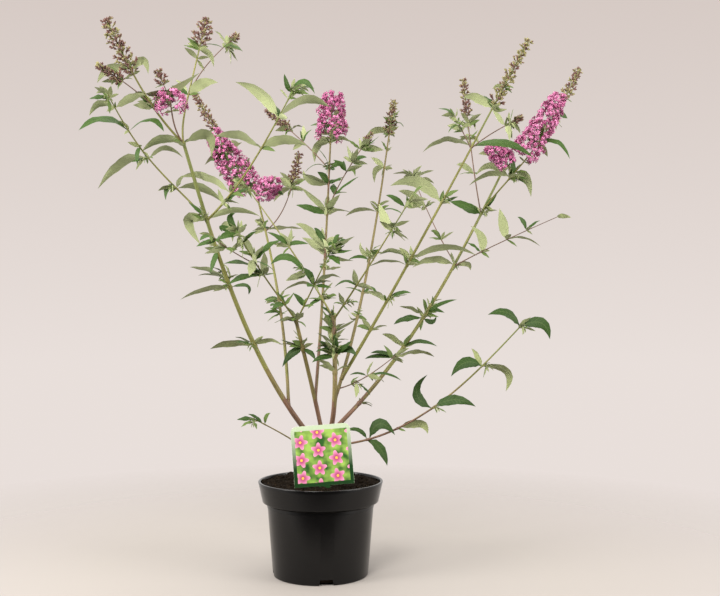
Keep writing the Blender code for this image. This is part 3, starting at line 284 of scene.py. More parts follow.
# Each mass: its main limb first, and the share of that limb where its bough gives way to it
MASSES = {
    "west": (0.37, {
        "west": limb("trunk", 0.72, 0.510, (-150, -142), (46, 71), (0.0041, 0.0023)),
        "west_outer": limb("west", 0.775, 0.240, (-213, -109), (48, 40), (0.0014, 0.0008)),
        "west_spike": limb("west", 1.00, 0.190, (-152, -146), (40, 62), (0.0017, 0.0009),
                           (("buds", 0.60, 1.0, 0.020, 0),)),
        "west_side_spike": limb("west_spike", 0.35, 0.095, (-132, -129), (34, 19),
                                (0.0009, 0.0006), (("buds", 0.58, 1.0, 0.010, 0),)),
        "west_bloom": limb("west", 1.00, 0.072, (-133, -126), (40, 84), (0.0012, 0.0010),
                           (("bloom", 0.66, 1.0, 0.028, 0),)),
        "west_bud": limb("west_bloom", 0.90, 0.038, (-160, -160), (62, 66), (0.0008, 0.0006),
                         (("buds", 0.55, 1.0, 0.010, 0),)),
        "west_tall_spike": limb("west", 1.00, 0.210, (113, 49), (52, 75), (0.0015, 0.0009),
                                (("buds", 0.81, 1.0, 0.018, 0),)),
        "west_thin": limb("west_tall_spike", 0.42, 0.150, (48, 56), (64, 39), (0.0009, 0.0006),
                          (("buds", 0.90, 1.0, 0.008, 0),)),
        "west_right": limb("west", 0.78, 0.225, (-32, -32), (34, 55), (0.0017, 0.0009)),
    }),
    "west_inner": (0.24, {
        "west_inner": limb("west", 0.18, 0.390, (104, 115), (78, 55), (0.0026, 0.0015)),
        "inner_bloom": limb("west_inner", 0.96, 0.205, (185, 175), (56, 60), (0.0013, 0.0007),
                            (("bloom", 0.08, 0.64, 0.029, 0.005),
                             ("buds", 0.66, 1.0, 0.011, 0))),
        "inner_bloom_right": limb("west_inner", 0.96, 0.050, (-43, -41), (44, 16),
                                  (0.0011, 0.0009), (("bloom", 0.15, 1.0, 0.021, 0),)),
        "inner_spike": limb("west_inner", 0.78, 0.185, (52, 75), (30, 60), (0.0010, 0.0007),
                            (("buds", 0.63, 1.0, 0.014, 0),)),
    }),
    "centre": (0.72, {
        "centre": limb("trunk", 0.93, 0.200, (-138, -126), (76, 69), (0.0034, 0.0027)),
        "centre_left": limb("centre", 0.98, 0.190, (-153, -108), (53, 35), (0.0014, 0.0008)),
        "centre_thin": limb("centre_left", 0.60, 0.115, (-132, -112), (18, 17),
                            (0.0009, 0.0006)),
        "centre_right": limb("centre", 0.97, 0.155, (-58, -58), (43, 46), (0.0013, 0.0007)),
    }),
    "centre_back": (0.18, {
        "centre_back": limb("centre", 0.33, 0.500, (79, 77), (70, 81), (0.0026, 0.0012),
                            (("bloom", 0.85, 1.0, 0.029, 0),)),
        "back_spike": limb("centre_back", 0.75, 0.175, (145, 141), (46, 36), (0.0010, 0.0007),
                           (("buds", 0.64, 1.0, 0.011, 0),)),
        "back_sprig": limb("centre_back", 0.61, 0.140, (-10, -6), (70, 55), (0.0011, 0.0006),
                           (("buds", 0.88, 1.0, 0.008, 0),)),
    }),
    "middle": (0.58, {
        "middle": limb("trunk", 0.90, 0.215, (-64, -81), (27, 105), (0.0039, 0.0033)),
        "middle_left": limb("middle", 0.98, 0.270, (151, 151), (57, 50), (0.0015, 0.0008)),
        "middle_right": limb("middle", 0.97, 0.235, (-45, -40), (45, 51), (0.0015, 0.0008)),
    }),
    "back_east": (0.21, {
        "back_east": limb("middle", 0.40, 0.535, (62, 66), (55, 71), (0.0028, 0.0010),
                          (("buds", 0.885, 1.0, 0.014, 0),)),
    }),
    "tall_east": (0.13, {
        "tall_east": limb("back_east", 0.07, 0.560, (-17, -18), (58, 61), (0.0027, 0.0010),
                          (("buds", 0.82, 1.0, 0.014, 0),)),
        "tall_right": limb("tall_east", 0.70, 0.095, (-48, -48), (28, 15), (0.0009, 0.0006),
                           (("buds", 0.90, 1.0, 0.006, 0),)),
        "tall_left": limb("tall_east", 0.70, 0.055, (171, 171), (66, 63), (0.0008, 0.0005)),
    }),
    "east": (0.12, {
        "east": limb("middle", 0.12, 0.505, (16, 17), (41, 62), (0.0034, 0.0018)),
        "east_spike": limb("east", 0.84, 0.225, (123, 117), (74, 80), (0.0011, 0.0007),
                           (("buds", 0.74, 1.0, 0.011, 0),)),
        "east_bloom": limb("east", 0.85, 0.280, (-68, 26), (34, 61), (0.0014, 0.0007),
                           (("bloom", 0.38, 0.80, 0.025, 0.009),
                            ("buds", 0.81, 1.0, 0.012, 0))),
        "east_bloom_left": limb("east_bloom", 0.29, 0.060, (-158, -158), (62, 38),
                                (0.0010, 0.0008), (("bloom", 0.25, 1.0, 0.0195, 0),)),
        "east_low": limb("east", 0.65, 0.180, (-23, -23), (27, 22), (0.0010, 0.0005)),
        "east_thin": limb("east", 0.66, 0.195, (119, 120), (43, 55), (0.0009, 0.0006)),
    }),
    "low_east": (0.14, {
        "low_east": limb("trunk", 0.84, 0.360, (-7, -15), (0, 47), (0.0018, 0.0010)),
    }),
    "low_west": (0.62, {
        "low_west": limb("trunk", 0.50, 0.130, (-158, -153), (42, 28), (0.0013, 0.0008)),
    }),
    "low_shoot": (0.0, {
        "low_shoot": limb("back_east", 0.04, 0.100, (-2, 1), (14, 38), (0.0010, 0.0006)),
    }),
}
LIMBS = {name: row for _, rows in MASSES.values() for name, row in rows.items()}
BOUGHS = [mass for mass, (split, rows) in MASSES.items() if split > 0]

# The leaves of each limb: the share of the limb where a leaf stands, the place of its middle
# and of its tip, right and up from there, how much of the blade's width shows from the front
# (its upper face where less than nothing), and the width that shows. In millimetres.
LEAVES = {
    "west": (
        (1.00, -32, 8, -63, -9, 0.6, 9), (1.00, 32, 14, 36, -16, 0.75, 14),
        (0.78, 46, 18, 94, 8, 0.7, 10), (0.78, -27, 0, -9, -36, 0.8, 14),
        (0.78, -10, 4, -21, 8, -0.6, 4), (0.58, -38, -2, -76, -18, 0.55, 9),
        (0.58, 40, 3, 44, -18, -0.4, 8), (0.60, 22, 9, 46, 14, -0.4, 8),
        (0.60, -26, 14, -57, 20, 0.4, 8), (0.60, -22, 9, -46, 8, 0.3, 6),
        (0.60, 2, 12, -8, 26, 0.5, 6), (0.69, -4, -15, -8, -33, -0.8, 8),
        (0.395, -33, 4, -68, -6, 0.4, 8), (0.395, -15, 9, -30, 12, 0.3, 6),
        (0.395, 36, 15, 72, 2, 0.5, 9)),
    "west_outer": (
        (0.73, -33, 14, -63, -3, -0.45, 9), (0.73, 30, 15, 51, -3, -0.4, 9),
        (0.90, -21, 6, -36, -10, 0.4, 8), (0.90, 20, 15, 38, 22, 0.6, 10),
        (0.97, -10, 9, -21, 8, 0.3, 4), (0.97, 6, 4, 12, 6, 0.8, 8), (0.97, -3, 9, -2, 16, 0.5, 4),
        (0.52, -40, -3, -80, -39, 0.5, 9), (0.52, 22, 16, 46, 3, 0.3, 8),
        (0.61, -3, -10, -2, -27, -0.95, 14), (0.28, -12, 0, -14, -18, -0.95, 18),
        (0.28, 33, 2, 63, -18, 0.5, 8)),
    "west_spike": (
        (0.64, -30, 4, -50, -15, 0.7, 9), (0.64, 15, 14, 22, -4, 0.8, 10),
        (0.64, 9, 9, 18, 12, 0.6, 8), (0.33, -10, 10, -24, 21, -0.8, 12),
        (0.36, 27, 22, 63, 50, 0.7, 10), (0.45, 22, 4, 52, 10, 0.35, 6)),
    "west_side_spike": (
        (0.60, -3, -4, -4, -14, -0.8, 6), (0.60, 6, 4, 14, 3, 0.3, 3)),
    "west_tall_spike": (
        (0.42, 18, 20, 40, 24, 0.85, 15), (0.42, -10, 15, -22, 27, 0.7, 9),
        (0.78, -12, 4, -22, 6, -0.7, 12), (0.78, 14, -4, 20, -22, 0.85, 14),
        (0.71, 6, -8, 10, -16, 0.8, 8)),
    "west_thin": (
        (0.80, -8, 15, -18, 22, 0.4, 6), (0.80, 14, -3, 26, -12, -0.7, 8),
        (0.74, -14, 4, -27, 3, -0.3, 4), (0.84, 4, 6, 12, 6, 0.4, 4)),
    "west_right": (
        (0.25, -38, 26, -76, 26, 0.7, 10), (0.16, 18, 14, 39, 21, -0.6, 8),
        (0.60, 28, 15, 63, 9, 0.7, 12), (0.60, -30, 21, -68, 22, 0.35, 8),
        (0.82, -24, 34, -60, 51, 0.85, 16), (0.82, 34, 27, 69, 20, 0.3, 8),
        (0.99, 16, 15, 32, -3, -0.8, 8), (0.99, -6, 12, -9, 24, -0.85, 10),
        (0.99, 2, 12, 4, 22, 0.8, 9), (0.99, 8, 8, 14, 10, 0.7, 6),
        (0.95, -8, 10, -12, 14, 0.4, 4)),
    "west_inner": (
        (0.79, -9, 9, -18, 15, 0.8, 10), (0.79, 0, 8, 6, 16, -0.9, 15),
        (0.79, 30, 4, 62, 3, 0.4, 6), (0.44, -12, 2, -22, -3, -0.4, 4),
        (0.44, 9, 6, 18, 9, -0.5, 4), (0.38, -12, 4, -26, 0, -0.5, 6),
        (0.38, -10, -3, -21, -12, -0.5, 4), (0.38, 6, 3, 12, 6, -0.4, 4)),
    "inner_bloom": (
        (0.42, 6, 12, 20, 21, 0.8, 9), (0.45, -9, 9, -18, 15, 0.8, 9),
        (0.20, 6, 8, 14, 18, -0.95, 12), (0.24, -8, 6, -15, 8, 0.7, 8),
        (0.40, -22, 6, -46, -12, 0.3, 6), (0.07, 22, 9, 50, 2, 0.4, 8),
        (0.12, -14, 9, -27, 4, 0.7, 9)),
    "inner_spike": (
        (0.60, -16, -3, -30, -21, 0.6, 9), (0.62, 10, -2, 20, -9, -0.4, 4),
        (0.60, -3, -8, -4, -15, -0.9, 8), (0.64, 8, 4, 18, 4, -0.3, 4)),
    "centre": (
        (0.75, -21, -9, -38, -34, -0.95, 20), (0.77, -21, 4, -44, 4, 0.3, 6),
        (0.75, 20, -9, 32, -27, -0.8, 12), (0.77, 22, 10, 45, 18, -0.6, 10),
        (0.74, 9, -6, 16, -14, -0.9, 6), (0.97, -14, 4, -24, 2, -0.4, 4),
        (0.97, 9, -2, 15, -9, -0.4, 4)),
    "centre_left": (
        (0.16, 6, 6, 15, 18, -0.85, 14), (0.16, -8, 3, -15, 3, -0.5, 8),
        (0.48, -22, -2, -44, -15, -0.45, 9), (0.50, -24, 14, -50, 12, -0.35, 6),
        (0.48, 9, 2, 16, 2, -0.5, 4), (0.64, 16, 20, 40, 30, -0.8, 10),
        (0.64, 15, -4, 30, -15, -0.3, 4), (0.70, 3, 6, 3, 14, 0.8, 12),
        (0.86, 8, 9, 20, 15, -0.7, 9), (0.95, -8, 4, -10, -10, 0.8, 9),
        (0.95, 2, 12, 2, 21, 0.7, 9), (0.95, -15, 15, -28, 10, 0.7, 9),
        (0.95, -12, 21, -4, 28, -0.8, 8), (0.95, -22, 9, -22, 3, -0.9, 8)),
    "centre_thin": (
        (0.60, 8, -2, 15, -3, -0.5, 6), (0.84, -12, 8, -22, 9, 0.3, 4)),
    "centre_right": (
        (0.20, 2, 8, 9, 15, -0.6, 14), (0.48, -21, 3, -46, -8, 0.4, 6),
        (0.50, 20, 12, 38, 9, 0.5, 8), (0.90, 12, 9, 28, 20, 0.6, 8),
        (0.90, 12, 4, 22, 10, -0.3, 4), (0.90, 15, 0, 32, 2, -0.3, 4),
        (0.86, 15, -4, 36, -8, 0.4, 6)),
    "centre_back": (
        (0.32, -12, -3, -22, -14, -0.6, 6), (0.32, -10, 3, -22, 2, -0.3, 4),
        (0.32, 14, 8, 22, 6, -0.5, 6), (0.32, 12, 3, 22, 3, 0.3, 4), (0.42, 14, 2, 27, 4, 0.3, 4),
        (0.47, -20, 16, -38, 27, 0.8, 12), (0.48, -24, 32, -48, 44, 0.8, 12),
        (0.50, -10, 18, -18, 26, -0.9, 12), (0.48, -3, 20, -6, 39, 0.7, 9),
        (0.60, -34, 12, -62, 18, -0.9, 14), (0.61, -22, 21, -42, 38, 0.8, 10),
        (0.61, 0, 16, 2, 30, 0.9, 21), (0.60, 28, 12, 69, 3, 0.4, 8),
        (0.70, -20, 9, -44, 15, 0.3, 4), (0.70, -30, 6, -40, 22, 0.8, 10),
        (0.75, -33, 12, -64, -12, -0.3, 6), (0.75, 15, 9, 27, 0, -0.9, 12),
        (0.84, -21, -4, -26, -30, 0.6, 9), (0.84, 15, 9, 33, 2, 0.6, 12)),
    "back_spike": (
        (0.42, 4, 12, 15, 20, -0.5, 9), (0.62, 8, 9, 20, 8, 0.3, 3),
        (0.66, -3, -6, -4, -14, -0.8, 6)),
    "back_sprig": (
        (0.20, 18, 16, 40, 27, -0.3, 6), (0.50, -9, 12, -21, 18, -0.9, 14),
        (0.50, 10, 4, 14, -8, -0.9, 9), (0.62, -8, 8, -14, 10, 0.8, 10),
        (0.62, 12, 8, 24, 8, -0.9, 10), (0.64, 0, 8, -2, 15, 0.7, 6),
        (0.80, -10, 8, -20, 15, -0.6, 6), (0.80, 0, 10, -3, 21, 0.8, 15),
        (0.82, 15, 9, 28, 18, -0.4, 4)),
    "middle": (
        (0.72, -22, 14, -46, 9, -0.6, 12), (0.71, -18, 0, -33, -8, -0.9, 9),
        (0.76, -18, 9, -33, 2, 0.5, 9), (0.73, 18, 8, 33, -3, -0.8, 10),
        (0.73, 14, 10, 26, 20, -0.7, 8), (0.74, 2, 14, -2, 27, -0.95, 14),
        (0.82, 12, 3, 27, 2, 0.3, 4), (0.79, -8, 18, -8, 34, 0.6, 14),
        (0.88, -24, 10, -50, 10, -0.3, 4), (0.88, 15, 10, 34, 20, 0.3, 4),
        (0.90, -6, 9, -8, 20, -0.8, 8), (0.60, 12, 8, 24, 9, 0.4, 6),
        (0.98, -10, 4, -16, 12, -0.4, 8)),
    "middle_left": (
        (0.30, -28, 26, -54, 14, -0.6, 10), (0.52, 4, 10, 6, 26, 0.85, 20),
        (0.52, -10, 9, -30, 18, -0.6, 8), (0.50, -6, -6, -12, -15, -0.7, 9),
        (0.52, 16, 3, 33, 0, -0.9, 8), (0.95, -8, 9, -18, 15, 0.8, 9),
        (0.95, 8, -3, 14, -10, 0.8, 10)),
    "middle_right": (
        (0.13, 3, -4, 9, -10, -0.6, 9), (0.13, -8, 4, -15, 2, -0.5, 6),
        (0.29, -15, 8, -32, -2, -0.5, 8), (0.72, -9, 21, -16, 42, 0.85, 18),
        (0.74, 9, 9, 18, 10, -0.3, 6), (0.90, -14, 12, -28, 16, -0.8, 10),
        (0.93, 4, 8, 8, 14, 0.5, 4)),
    "back_east": (
        (0.35, -21, 12, -46, 14, -0.3, 4), (0.35, 14, 9, 22, -3, -0.5, 9),
        (0.27, -8, -2, -14, 6, 0.5, 8), (0.46, -28, 8, -57, -2, -0.95, 9),
        (0.47, -12, 10, -15, 24, 0.9, 21), (0.62, -33, 9, -66, -4, 0.3, 6),
        (0.62, 36, 8, 69, -10, -0.3, 6), (0.64, -8, 6, -14, 8, 0.7, 6),
        (0.77, -10, 12, -22, 20, 0.9, 20), (0.77, -14, -3, -16, -24, 0.8, 12),
        (0.83, 4, 4, 9, 8, 0.3, 3), (0.89, -21, 8, -42, -8, 0.8, 10), (0.90, 8, 4, 16, 8, 0.8, 12),
        (0.92, 14, 4, 22, -4, -0.4, 4)),
    "tall_east": (
        (0.155, -18, 10, -33, 9, -0.95, 12), (0.155, 14, 6, 26, 6, 0.4, 6),
        (0.245, -22, 18, -52, 24, 0.8, 15), (0.245, 18, 12, 36, 12, -0.5, 9),
        (0.355, -27, 8, -56, 0, 0.3, 6), (0.37, -28, 18, -56, 12, 0.6, 9),
        (0.37, 50, 20, 98, 6, 0.6, 9), (0.38, 0, 8, -2, 18, 0.7, 6),
        (0.54, -33, 32, -74, 28, 0.85, 18), (0.54, 14, 6, 24, 9, -0.7, 9),
        (0.705, -36, 14, -70, -4, 0.35, 8), (0.705, 46, 4, 86, -20, -0.75, 12),
        (0.815, -21, 18, -40, 20, 0.85, 16), (0.815, 10, -2, 22, 0, 0.7, 8),
        (0.875, -8, 3, -16, -2, 0.8, 6), (0.875, 6, -2, 12, -9, -0.7, 4)),
    "tall_right": (
        (0.72, -8, 14, -16, 24, 0.6, 8), (0.80, 8, 3, 15, 4, 0.5, 4)),
    "tall_left": (
        (0.50, -10, 8, -22, -3, -0.5, 6), (0.55, 8, 9, 14, 3, 0.8, 10),
        (0.95, -4, 4, -12, 8, 0.7, 8), (0.95, 3, 6, 3, 14, 0.7, 6)),
    "east": (
        (0.13, -10, 8, -21, 14, -0.5, 8), (0.13, 12, 2, 21, -3, 0.3, 3),
        (0.31, -36, 14, -66, 12, -0.5, 8), (0.31, -36, 4, -60, -2, -0.7, 8),
        (0.35, -15, 14, -33, 20, 0.6, 8), (0.31, 32, 10, 62, 0, 0.5, 9),
        (0.35, 24, 9, 51, 2, -0.4, 8), (0.35, 4, 10, 12, 21, -0.7, 10),
        (0.46, -26, 0, -46, -10, -0.5, 12), (0.46, -3, -9, -4, -20, -0.95, 21),
        (0.46, 14, -6, 20, 3, -0.95, 18), (0.48, 22, 14, 46, 20, -0.7, 6),
        (0.47, -18, 10, -39, 14, 0.3, 6), (0.48, -3, 14, -6, 21, -0.9, 9),
        (0.50, 4, 9, 4, 18, -0.8, 8), (0.49, 9, 6, 14, 12, 0.6, 6),
        (0.655, -33, 10, -66, -4, 0.65, 10), (0.655, 20, 3, 27, -8, 0.8, 14),
        (0.84, -26, 12, -52, 18, -0.95, 20), (0.84, -9, 10, -18, 16, 0.9, 12)),
    "east_spike": (
        (0.30, -16, 14, -28, 16, 0.8, 15), (0.56, -9, 3, -21, -4, 0.5, 6),
        (0.56, 9, 3, 14, -9, 0.7, 10), (0.66, -9, 4, -15, 14, 0.7, 8),
        (0.68, 8, 3, 12, -9, 0.7, 9)),
    "east_bloom": (
        (0.262, -27, 21, -50, 8, 0.8, 10), (0.270, -30, 8, -62, -10, 0.6, 8),
        (0.305, 18, -8, 26, -38, 0.85, 14), (0.255, 14, 2, 28, -2, -0.4, 4),
        (0.28, 0, 15, -9, 32, -0.95, 21), (0.03, 8, 10, 18, 20, -0.9, 15),
        (0.50, 28, 2, 46, -26, -0.8, 10), (0.53, -9, 6, -20, 12, -0.9, 12),
        (0.66, 4, -4, 6, -15, 0.8, 8)),
    "east_low": (
        (0.27, 4, 21, -14, 42, 0.85, 16), (0.27, -10, 10, -24, 15, -0.7, 10),
        (0.52, -4, 26, -8, 50, 0.85, 15), (0.52, 27, 4, 54, -10, 0.3, 4),
        (0.71, -6, 14, -15, 20, -0.9, 12), (0.71, 9, 10, 20, 15, -0.5, 6)),
    "east_thin": (
        (0.28, -9, 12, -18, 14, -0.95, 15), (0.28, 10, 8, 20, 14, 0.4, 6),
        (0.65, -22, 21, -45, 30, 0.7, 12), (0.65, 8, 8, 16, 9, 0.4, 4),
        (0.99, 6, 12, 15, 21, 0.7, 9), (0.99, -8, 8, -18, 16, 0.6, 6),
        (0.99, -16, 9, -34, 8, 0.4, 6), (0.99, 18, 9, 36, 14, 0.3, 4),
        (0.95, 18, 4, 34, -3, 0.3, 4)),
    "low_east": (
        (0.19, -22, 26, -63, 22, -0.8, 10), (0.20, 16, 24, 39, 8, -0.9, 18),
        (0.20, 18, -16, 27, -39, -0.95, 22), (0.33, 33, 8, 46, -9, 0.8, 16),
        (0.50, -24, 24, -8, 52, -0.7, 12), (0.51, 30, 12, 60, 3, -0.9, 14),
        (0.775, -26, 6, -48, -14, -0.95, 16), (0.775, -6, 15, -14, 26, 0.8, 9),
        (0.775, 38, -8, 38, -39, 0.7, 12), (1.00, -20, 21, -50, 18, -0.8, 14),
        (1.00, 30, 6, 42, -18, -0.9, 18)),
    "low_west": (
        (0.85, 2, 12, 9, 18, -0.8, 10), (0.88, -10, 10, -21, 15, -0.5, 6),
        (0.95, -8, 2, -15, 4, 0.5, 4)),
    "low_shoot": (
        (0.47, -21, 8, -44, 3, -0.4, 4), (0.47, 27, 4, 51, -6, -0.3, 4),
        (0.92, -4, 12, -15, 26, -0.95, 15), (0.20, 3, 6, 12, 12, -0.4, 6)),
}


# ------------------------------------------------------------------ settings

def colour(name, description, default):
    """A colour setting."""
    return FloatVectorProperty(name=name, description=description, subtype="COLOR", size=3,
                               min=0, max=1, default=default)


def size(name, description, default):
    """A length setting."""
    return FloatProperty(name=name, description=description, unit="LENGTH", min=0,
                         precision=4, default=default)


class BushSizes(bpy.types.PropertyGroup):
    """Sizes of the finer shapes."""

    pot_height: size("Pot height", "Height of the pot", POT_BOX[1].z)
    pot_rim: size("Pot rim", "Radius of the pot's rim", POT_BOX[1].x)
    leaf_thickness: size("Leaf thickness", "Thickness of a blade at its midrib", 0.0005)
    leaf_rows: IntProperty(name="Leaf rows", description="Rows of faces along a leaf",
                           min=4, default=12)
    bark_relief: size("Bark relief", "Depth of the ridges on old bark", 0.0008)
    floret: size("Floret", "Width of one open floret", 0.0078)
    bud: size("Bud", "Length of one closed bud", 0.0049)
    crumb: size("Crumb", "Length of a large crumb of compost", 0.0075)
    crumbs: FloatProperty(name="Crumbs", description="Crumbs on a square metre of compost",
                          min=0, default=62000)


class BushColours(bpy.types.PropertyGroup):
    """Plain colours of the finishes."""

    pot: colour("Pot", "Black plastic", (0.0020, 0.0018, 0.0018))
    compost: colour("Compost", "Damp peat", (0.010, 0.0068, 0.0042))
    # The dark leaf and felt colours are darker copies of the others, painted shade for leaves low
    # on the bush
    leaf_dark: colour("Shaded leaf", "Upper side of a low leaf in painted shade", (0.020, 0.050, 0.006))
    leaf_mid: colour("Leaf", "Upper side of a leaf", (0.036, 0.080, 0.012))
    leaf_young: colour("Young leaf", "Upper side of a young leaf", (0.085, 0.130, 0.030))
    felt_dark: colour("Shaded felt", "Underside of a low leaf in painted shade", (0.255, 0.285, 0.125))
    felt_mid: colour("Felt", "Underside of a leaf", (0.290, 0.320, 0.160))
    felt_young: colour("Young felt", "Underside of a young leaf", (0.265, 0.295, 0.135))
    bark: colour("Bark", "Old brown bark", (0.130, 0.066, 0.036))
    cane: colour("Cane", "Green bark of a cane", (0.155, 0.150, 0.030))
    shoot: colour("Shoot", "Reddish bark of a thin shoot", (0.120, 0.066, 0.040))
    floret: colour("Floret", "Lobes of an open floret", (0.700, 0.215, 0.440))
    floret_deep: colour("Deep floret", "Lobes of a fresh floret", (0.450, 0.075, 0.230))
    throat: colour("Throat", "Tubes and shaded hearts of the florets", (0.330, 0.045, 0.150))
    bud_brown: colour("Brown bud", "Closed buds", (0.130, 0.050, 0.036))
    bud_olive: colour("Olive bud", "Youngest buds, at the tips", (0.240, 0.215, 0.075))
    label_green: colour("Label green", "Ground of the label's print", (0.050, 0.190, 0.035))
    label_pink: colour("Label pink", "Rosettes of the label's print", (0.640, 0.100, 0.290))
    backdrop: colour("Backdrop", "The studio behind", (0.810, 0.738, 0.705))
    floor: colour("Floor", "The studio floor", (0.345, 0.318, 0.296))


# ------------------------------------------------------------------ the growth rule

def mix(pair, share):
    """The value at a share of the way from the first number to the second."""
    return pair[0] + (pair[1] - pair[0]) * share


def heading(bearing, rise):
    """The unit vector along a bearing and a rise, both in degrees."""
    b = math.radians(bearing)
    r = math.radians(rise)
    return Vector((math.cos(r) * math.cos(b), math.cos(r) * math.sin(b), math.sin(r)))


def grow(foot, length, bearing, rise, steps=LIMB_STEPS):
    """Points along a limb whose heading eases from its foot's to its tip's."""
    points = [Vector(foot)]
    for i in range(steps):
        ease = 1 - (1 - (i + 0.5) / steps) ** 2
        points.append(points[-1] + heading(mix(bearing, ease), mix(rise, ease)) * length / steps)
    return points


def along(points, share):
    """The place at a share of a path's length."""
    place = share * (len(points) - 1)
    i = min(int(place), len(points) - 2)
    return points[i].lerp(points[i + 1], place - i)


def direction(points, share):
    """A path's direction at a share of its length."""
    after = along(points, min(1, share + NEAR_SHARE))
    return (after - along(points, max(0, share - NEAR_SHARE))).normalized()


def head_profile(kind, part):
    """The radius of a flower head along its length, as a share of its widest."""
    return 1 - (BLOOM_TAPER * part ** 2 if kind == "bloom" else BUD_TAPER * part)


def head_radius(row, share):
    """How far the flower heads of a limb reach from it at a share of its length."""
    widest = 0.0
    for kind, start, end, radius, aside in row.heads:
        if start <= share <= end:
            widest = max(widest, head_profile(kind, (share - start) / (end - start)) * radius)
            widest += abs(aside)
    return widest


def grow_limbs():
    """The path of the trunk and of each limb."""
    paths = {"trunk": grow((0, 0, SOIL_HEIGHT + CLEARANCE), STEM_LENGTH,
                           STEM_BEARING, STEM_RISE)}
    for name, row in LIMBS.items():
        foot = along(paths[row.parent], row.share)
        paths[name] = grow(foot, row.length, row.bearing, row.rise)
    return paths


def stem_radius(share):
    """The trunk's radius, with the flare at its foot."""
    return STEM_RADIUS * (1 - STEM_TAPER * share) + STEM_FLARE * math.exp(-STEM_FLARE_EASE * share)


def sample(points, radius_at, start=0.0, end=1.0, count=40):
    """Places along a path with its radius there, as rows of x, y, z, radius."""
    rows = []
    for i in range(count + 1):
        share = mix((start, end), i / count)
        rows.append((*along(points, share), radius_at(share)))
    return np.array(rows)


def reach(places, rows):
    """The distance from each place to the nearest of some sampled limbs."""
    gaps = np.linalg.norm(places[:, None, :] - rows[None, :, :3], axis=2) - rows[None, :, 3]
    return gaps.min(axis=1)


def survey(paths):
    """The sampled limbs of each mass, and the sampled trunk and boughs."""
    masses = {}
    boughs = [sample(paths["trunk"], stem_radius)]
    for mass, (split, rows) in MASSES.items():
        parts = []
        for name, row in rows.items():
            start = split if name == mass else 0.0
            parts.append(sample(paths[name],
                                lambda s, row=row: max(mix(row.radius, s), head_radius(row, s)),
                                start))
        masses[mass] = np.concatenate(parts)
        if split:
            row = rows[mass]
            boughs.append(sample(paths[mass], lambda s, row=row: mix(row.radius, s), 0, split))
    return masses, np.concatenate(boughs)


def leaf_width(share):
    """The width of a leaf along its length, as a share of its widest."""
    return math.sin(math.pi * share ** 0.75) ** 0.8


class Leaf:
    """One leaf: the path of its midrib, and the blade's frame along it."""

    def __init__(self, points, lift, width, twist):
        self.points = points
        self.lift = lift
        self.width = width
        self.twist = twist
        self.length = sum((end - start).length for start, end in zip(points, points[1:]))
        self.age = 1
        self.key = ""

    def frame(self, share):
        """The place, the direction across the blade and the one up from it."""
        run = direction(self.points, share)
        level = self.lift.cross(run).normalized()
        across = Matrix.Rotation(math.radians(self.twist * share), 3, run) @ level
        return along(self.points, share), across, run.cross(across)

    def outline(self, count=6):
        """Places on both edges and the midrib, from a little out of the foot to the tip."""
        places = []
        for i in range(1, count + 1):
            place, across = self.frame(i / count)[:2]
            half = across * self.width * 0.5 * leaf_width(i / count)
            places += [place - half, place, place + half]
        return np.array(places)


def face_up(run, shown):
    """The way a blade's upper face looks when a share of its width shows from the front."""
    back = (Vector((0, 1, 0)) - run * run.y).normalized()
    side = run.cross(back)
    if side.z < 0:
        side.negate()
    return back * shown + side * math.sqrt(1 - shown ** 2)


def table_leaf(node, row, depth, size, twist):
    """A leaf of the table: its midrib arches through its middle to its tip."""
    middle = Vector((row[1], depth * 0.5, row[2])) * MILLIMETRE * size
    tip = Vector((row[3], depth, row[4])) * MILLIMETRE * size
    bend = middle * 2 - tip * 0.5
    points = []
    for i in range(LEAF_STEPS + 1):
        share = i / LEAF_STEPS
        points.append(node + bend * 2 * share * (1 - share) + tip * share ** 2)
    leaf = Leaf(points, face_up(tip.normalized(), row[5]), 0, twist)
    shown = row[6] * MILLIMETRE * size / max(abs(row[5]), LEAF_LEAST_SHOWN)
    leaf.width = min(leaf.length * LEAF_WIDEST, shown)
    return leaf


def place_leaf(space, key, node, row):
    """A leaf of the table, leaning further or nearer until it keeps to its space, or none."""
    seed = random.Random(key)
    lean = seed.uniform(*(NEAR_LEAN if row[5] < 0 else FAR_LEAN))
    twist = seed.uniform(-LEAF_TWIST, LEAF_TWIST)
    long = math.hypot(row[3], row[4])
    for size in LEAF_SIZES:
        for swing in LEAF_SWINGS:
            leaf = table_leaf(node, row, long * (lean + swing), size, twist)
            if space.holds(leaf.outline()):
                return leaf
    return None


def draw_leaf(seed, node, axis, turn, length, lean):
    """A small leaf of a sprig, turned about the sprig and lit from above, from its seed."""
    level = axis.cross(Vector((0, 1, 0))).normalized()
    out = Matrix.Rotation(math.radians(turn + seed.uniform(-SPRIG_STRAY, SPRIG_STRAY)), 3,
                          axis) @ level
    tilt = math.radians(lean + seed.uniform(-SPRIG_STRAY, SPRIG_STRAY))
    start = axis * math.cos(tilt) + out * math.sin(tilt)
    bearing = math.degrees(math.atan2(start.y, start.x))
    rise = math.degrees(math.asin(max(-1, min(1, start.z))))
    size = length * seed.uniform(*SPRIG_SIZES)
    droop = seed.uniform(*SPRIG_DROOP)
    points = grow(node, size, (bearing, bearing), (rise, rise - droop), LEAF_STEPS)
    lift = face_up((points[-1] - node).normalized(), seed.uniform(*SPRIG_SHOWN))
    return Leaf(points, lift, size * SPRIG_WIDTH, seed.uniform(-LEAF_TWIST, LEAF_TWIST))


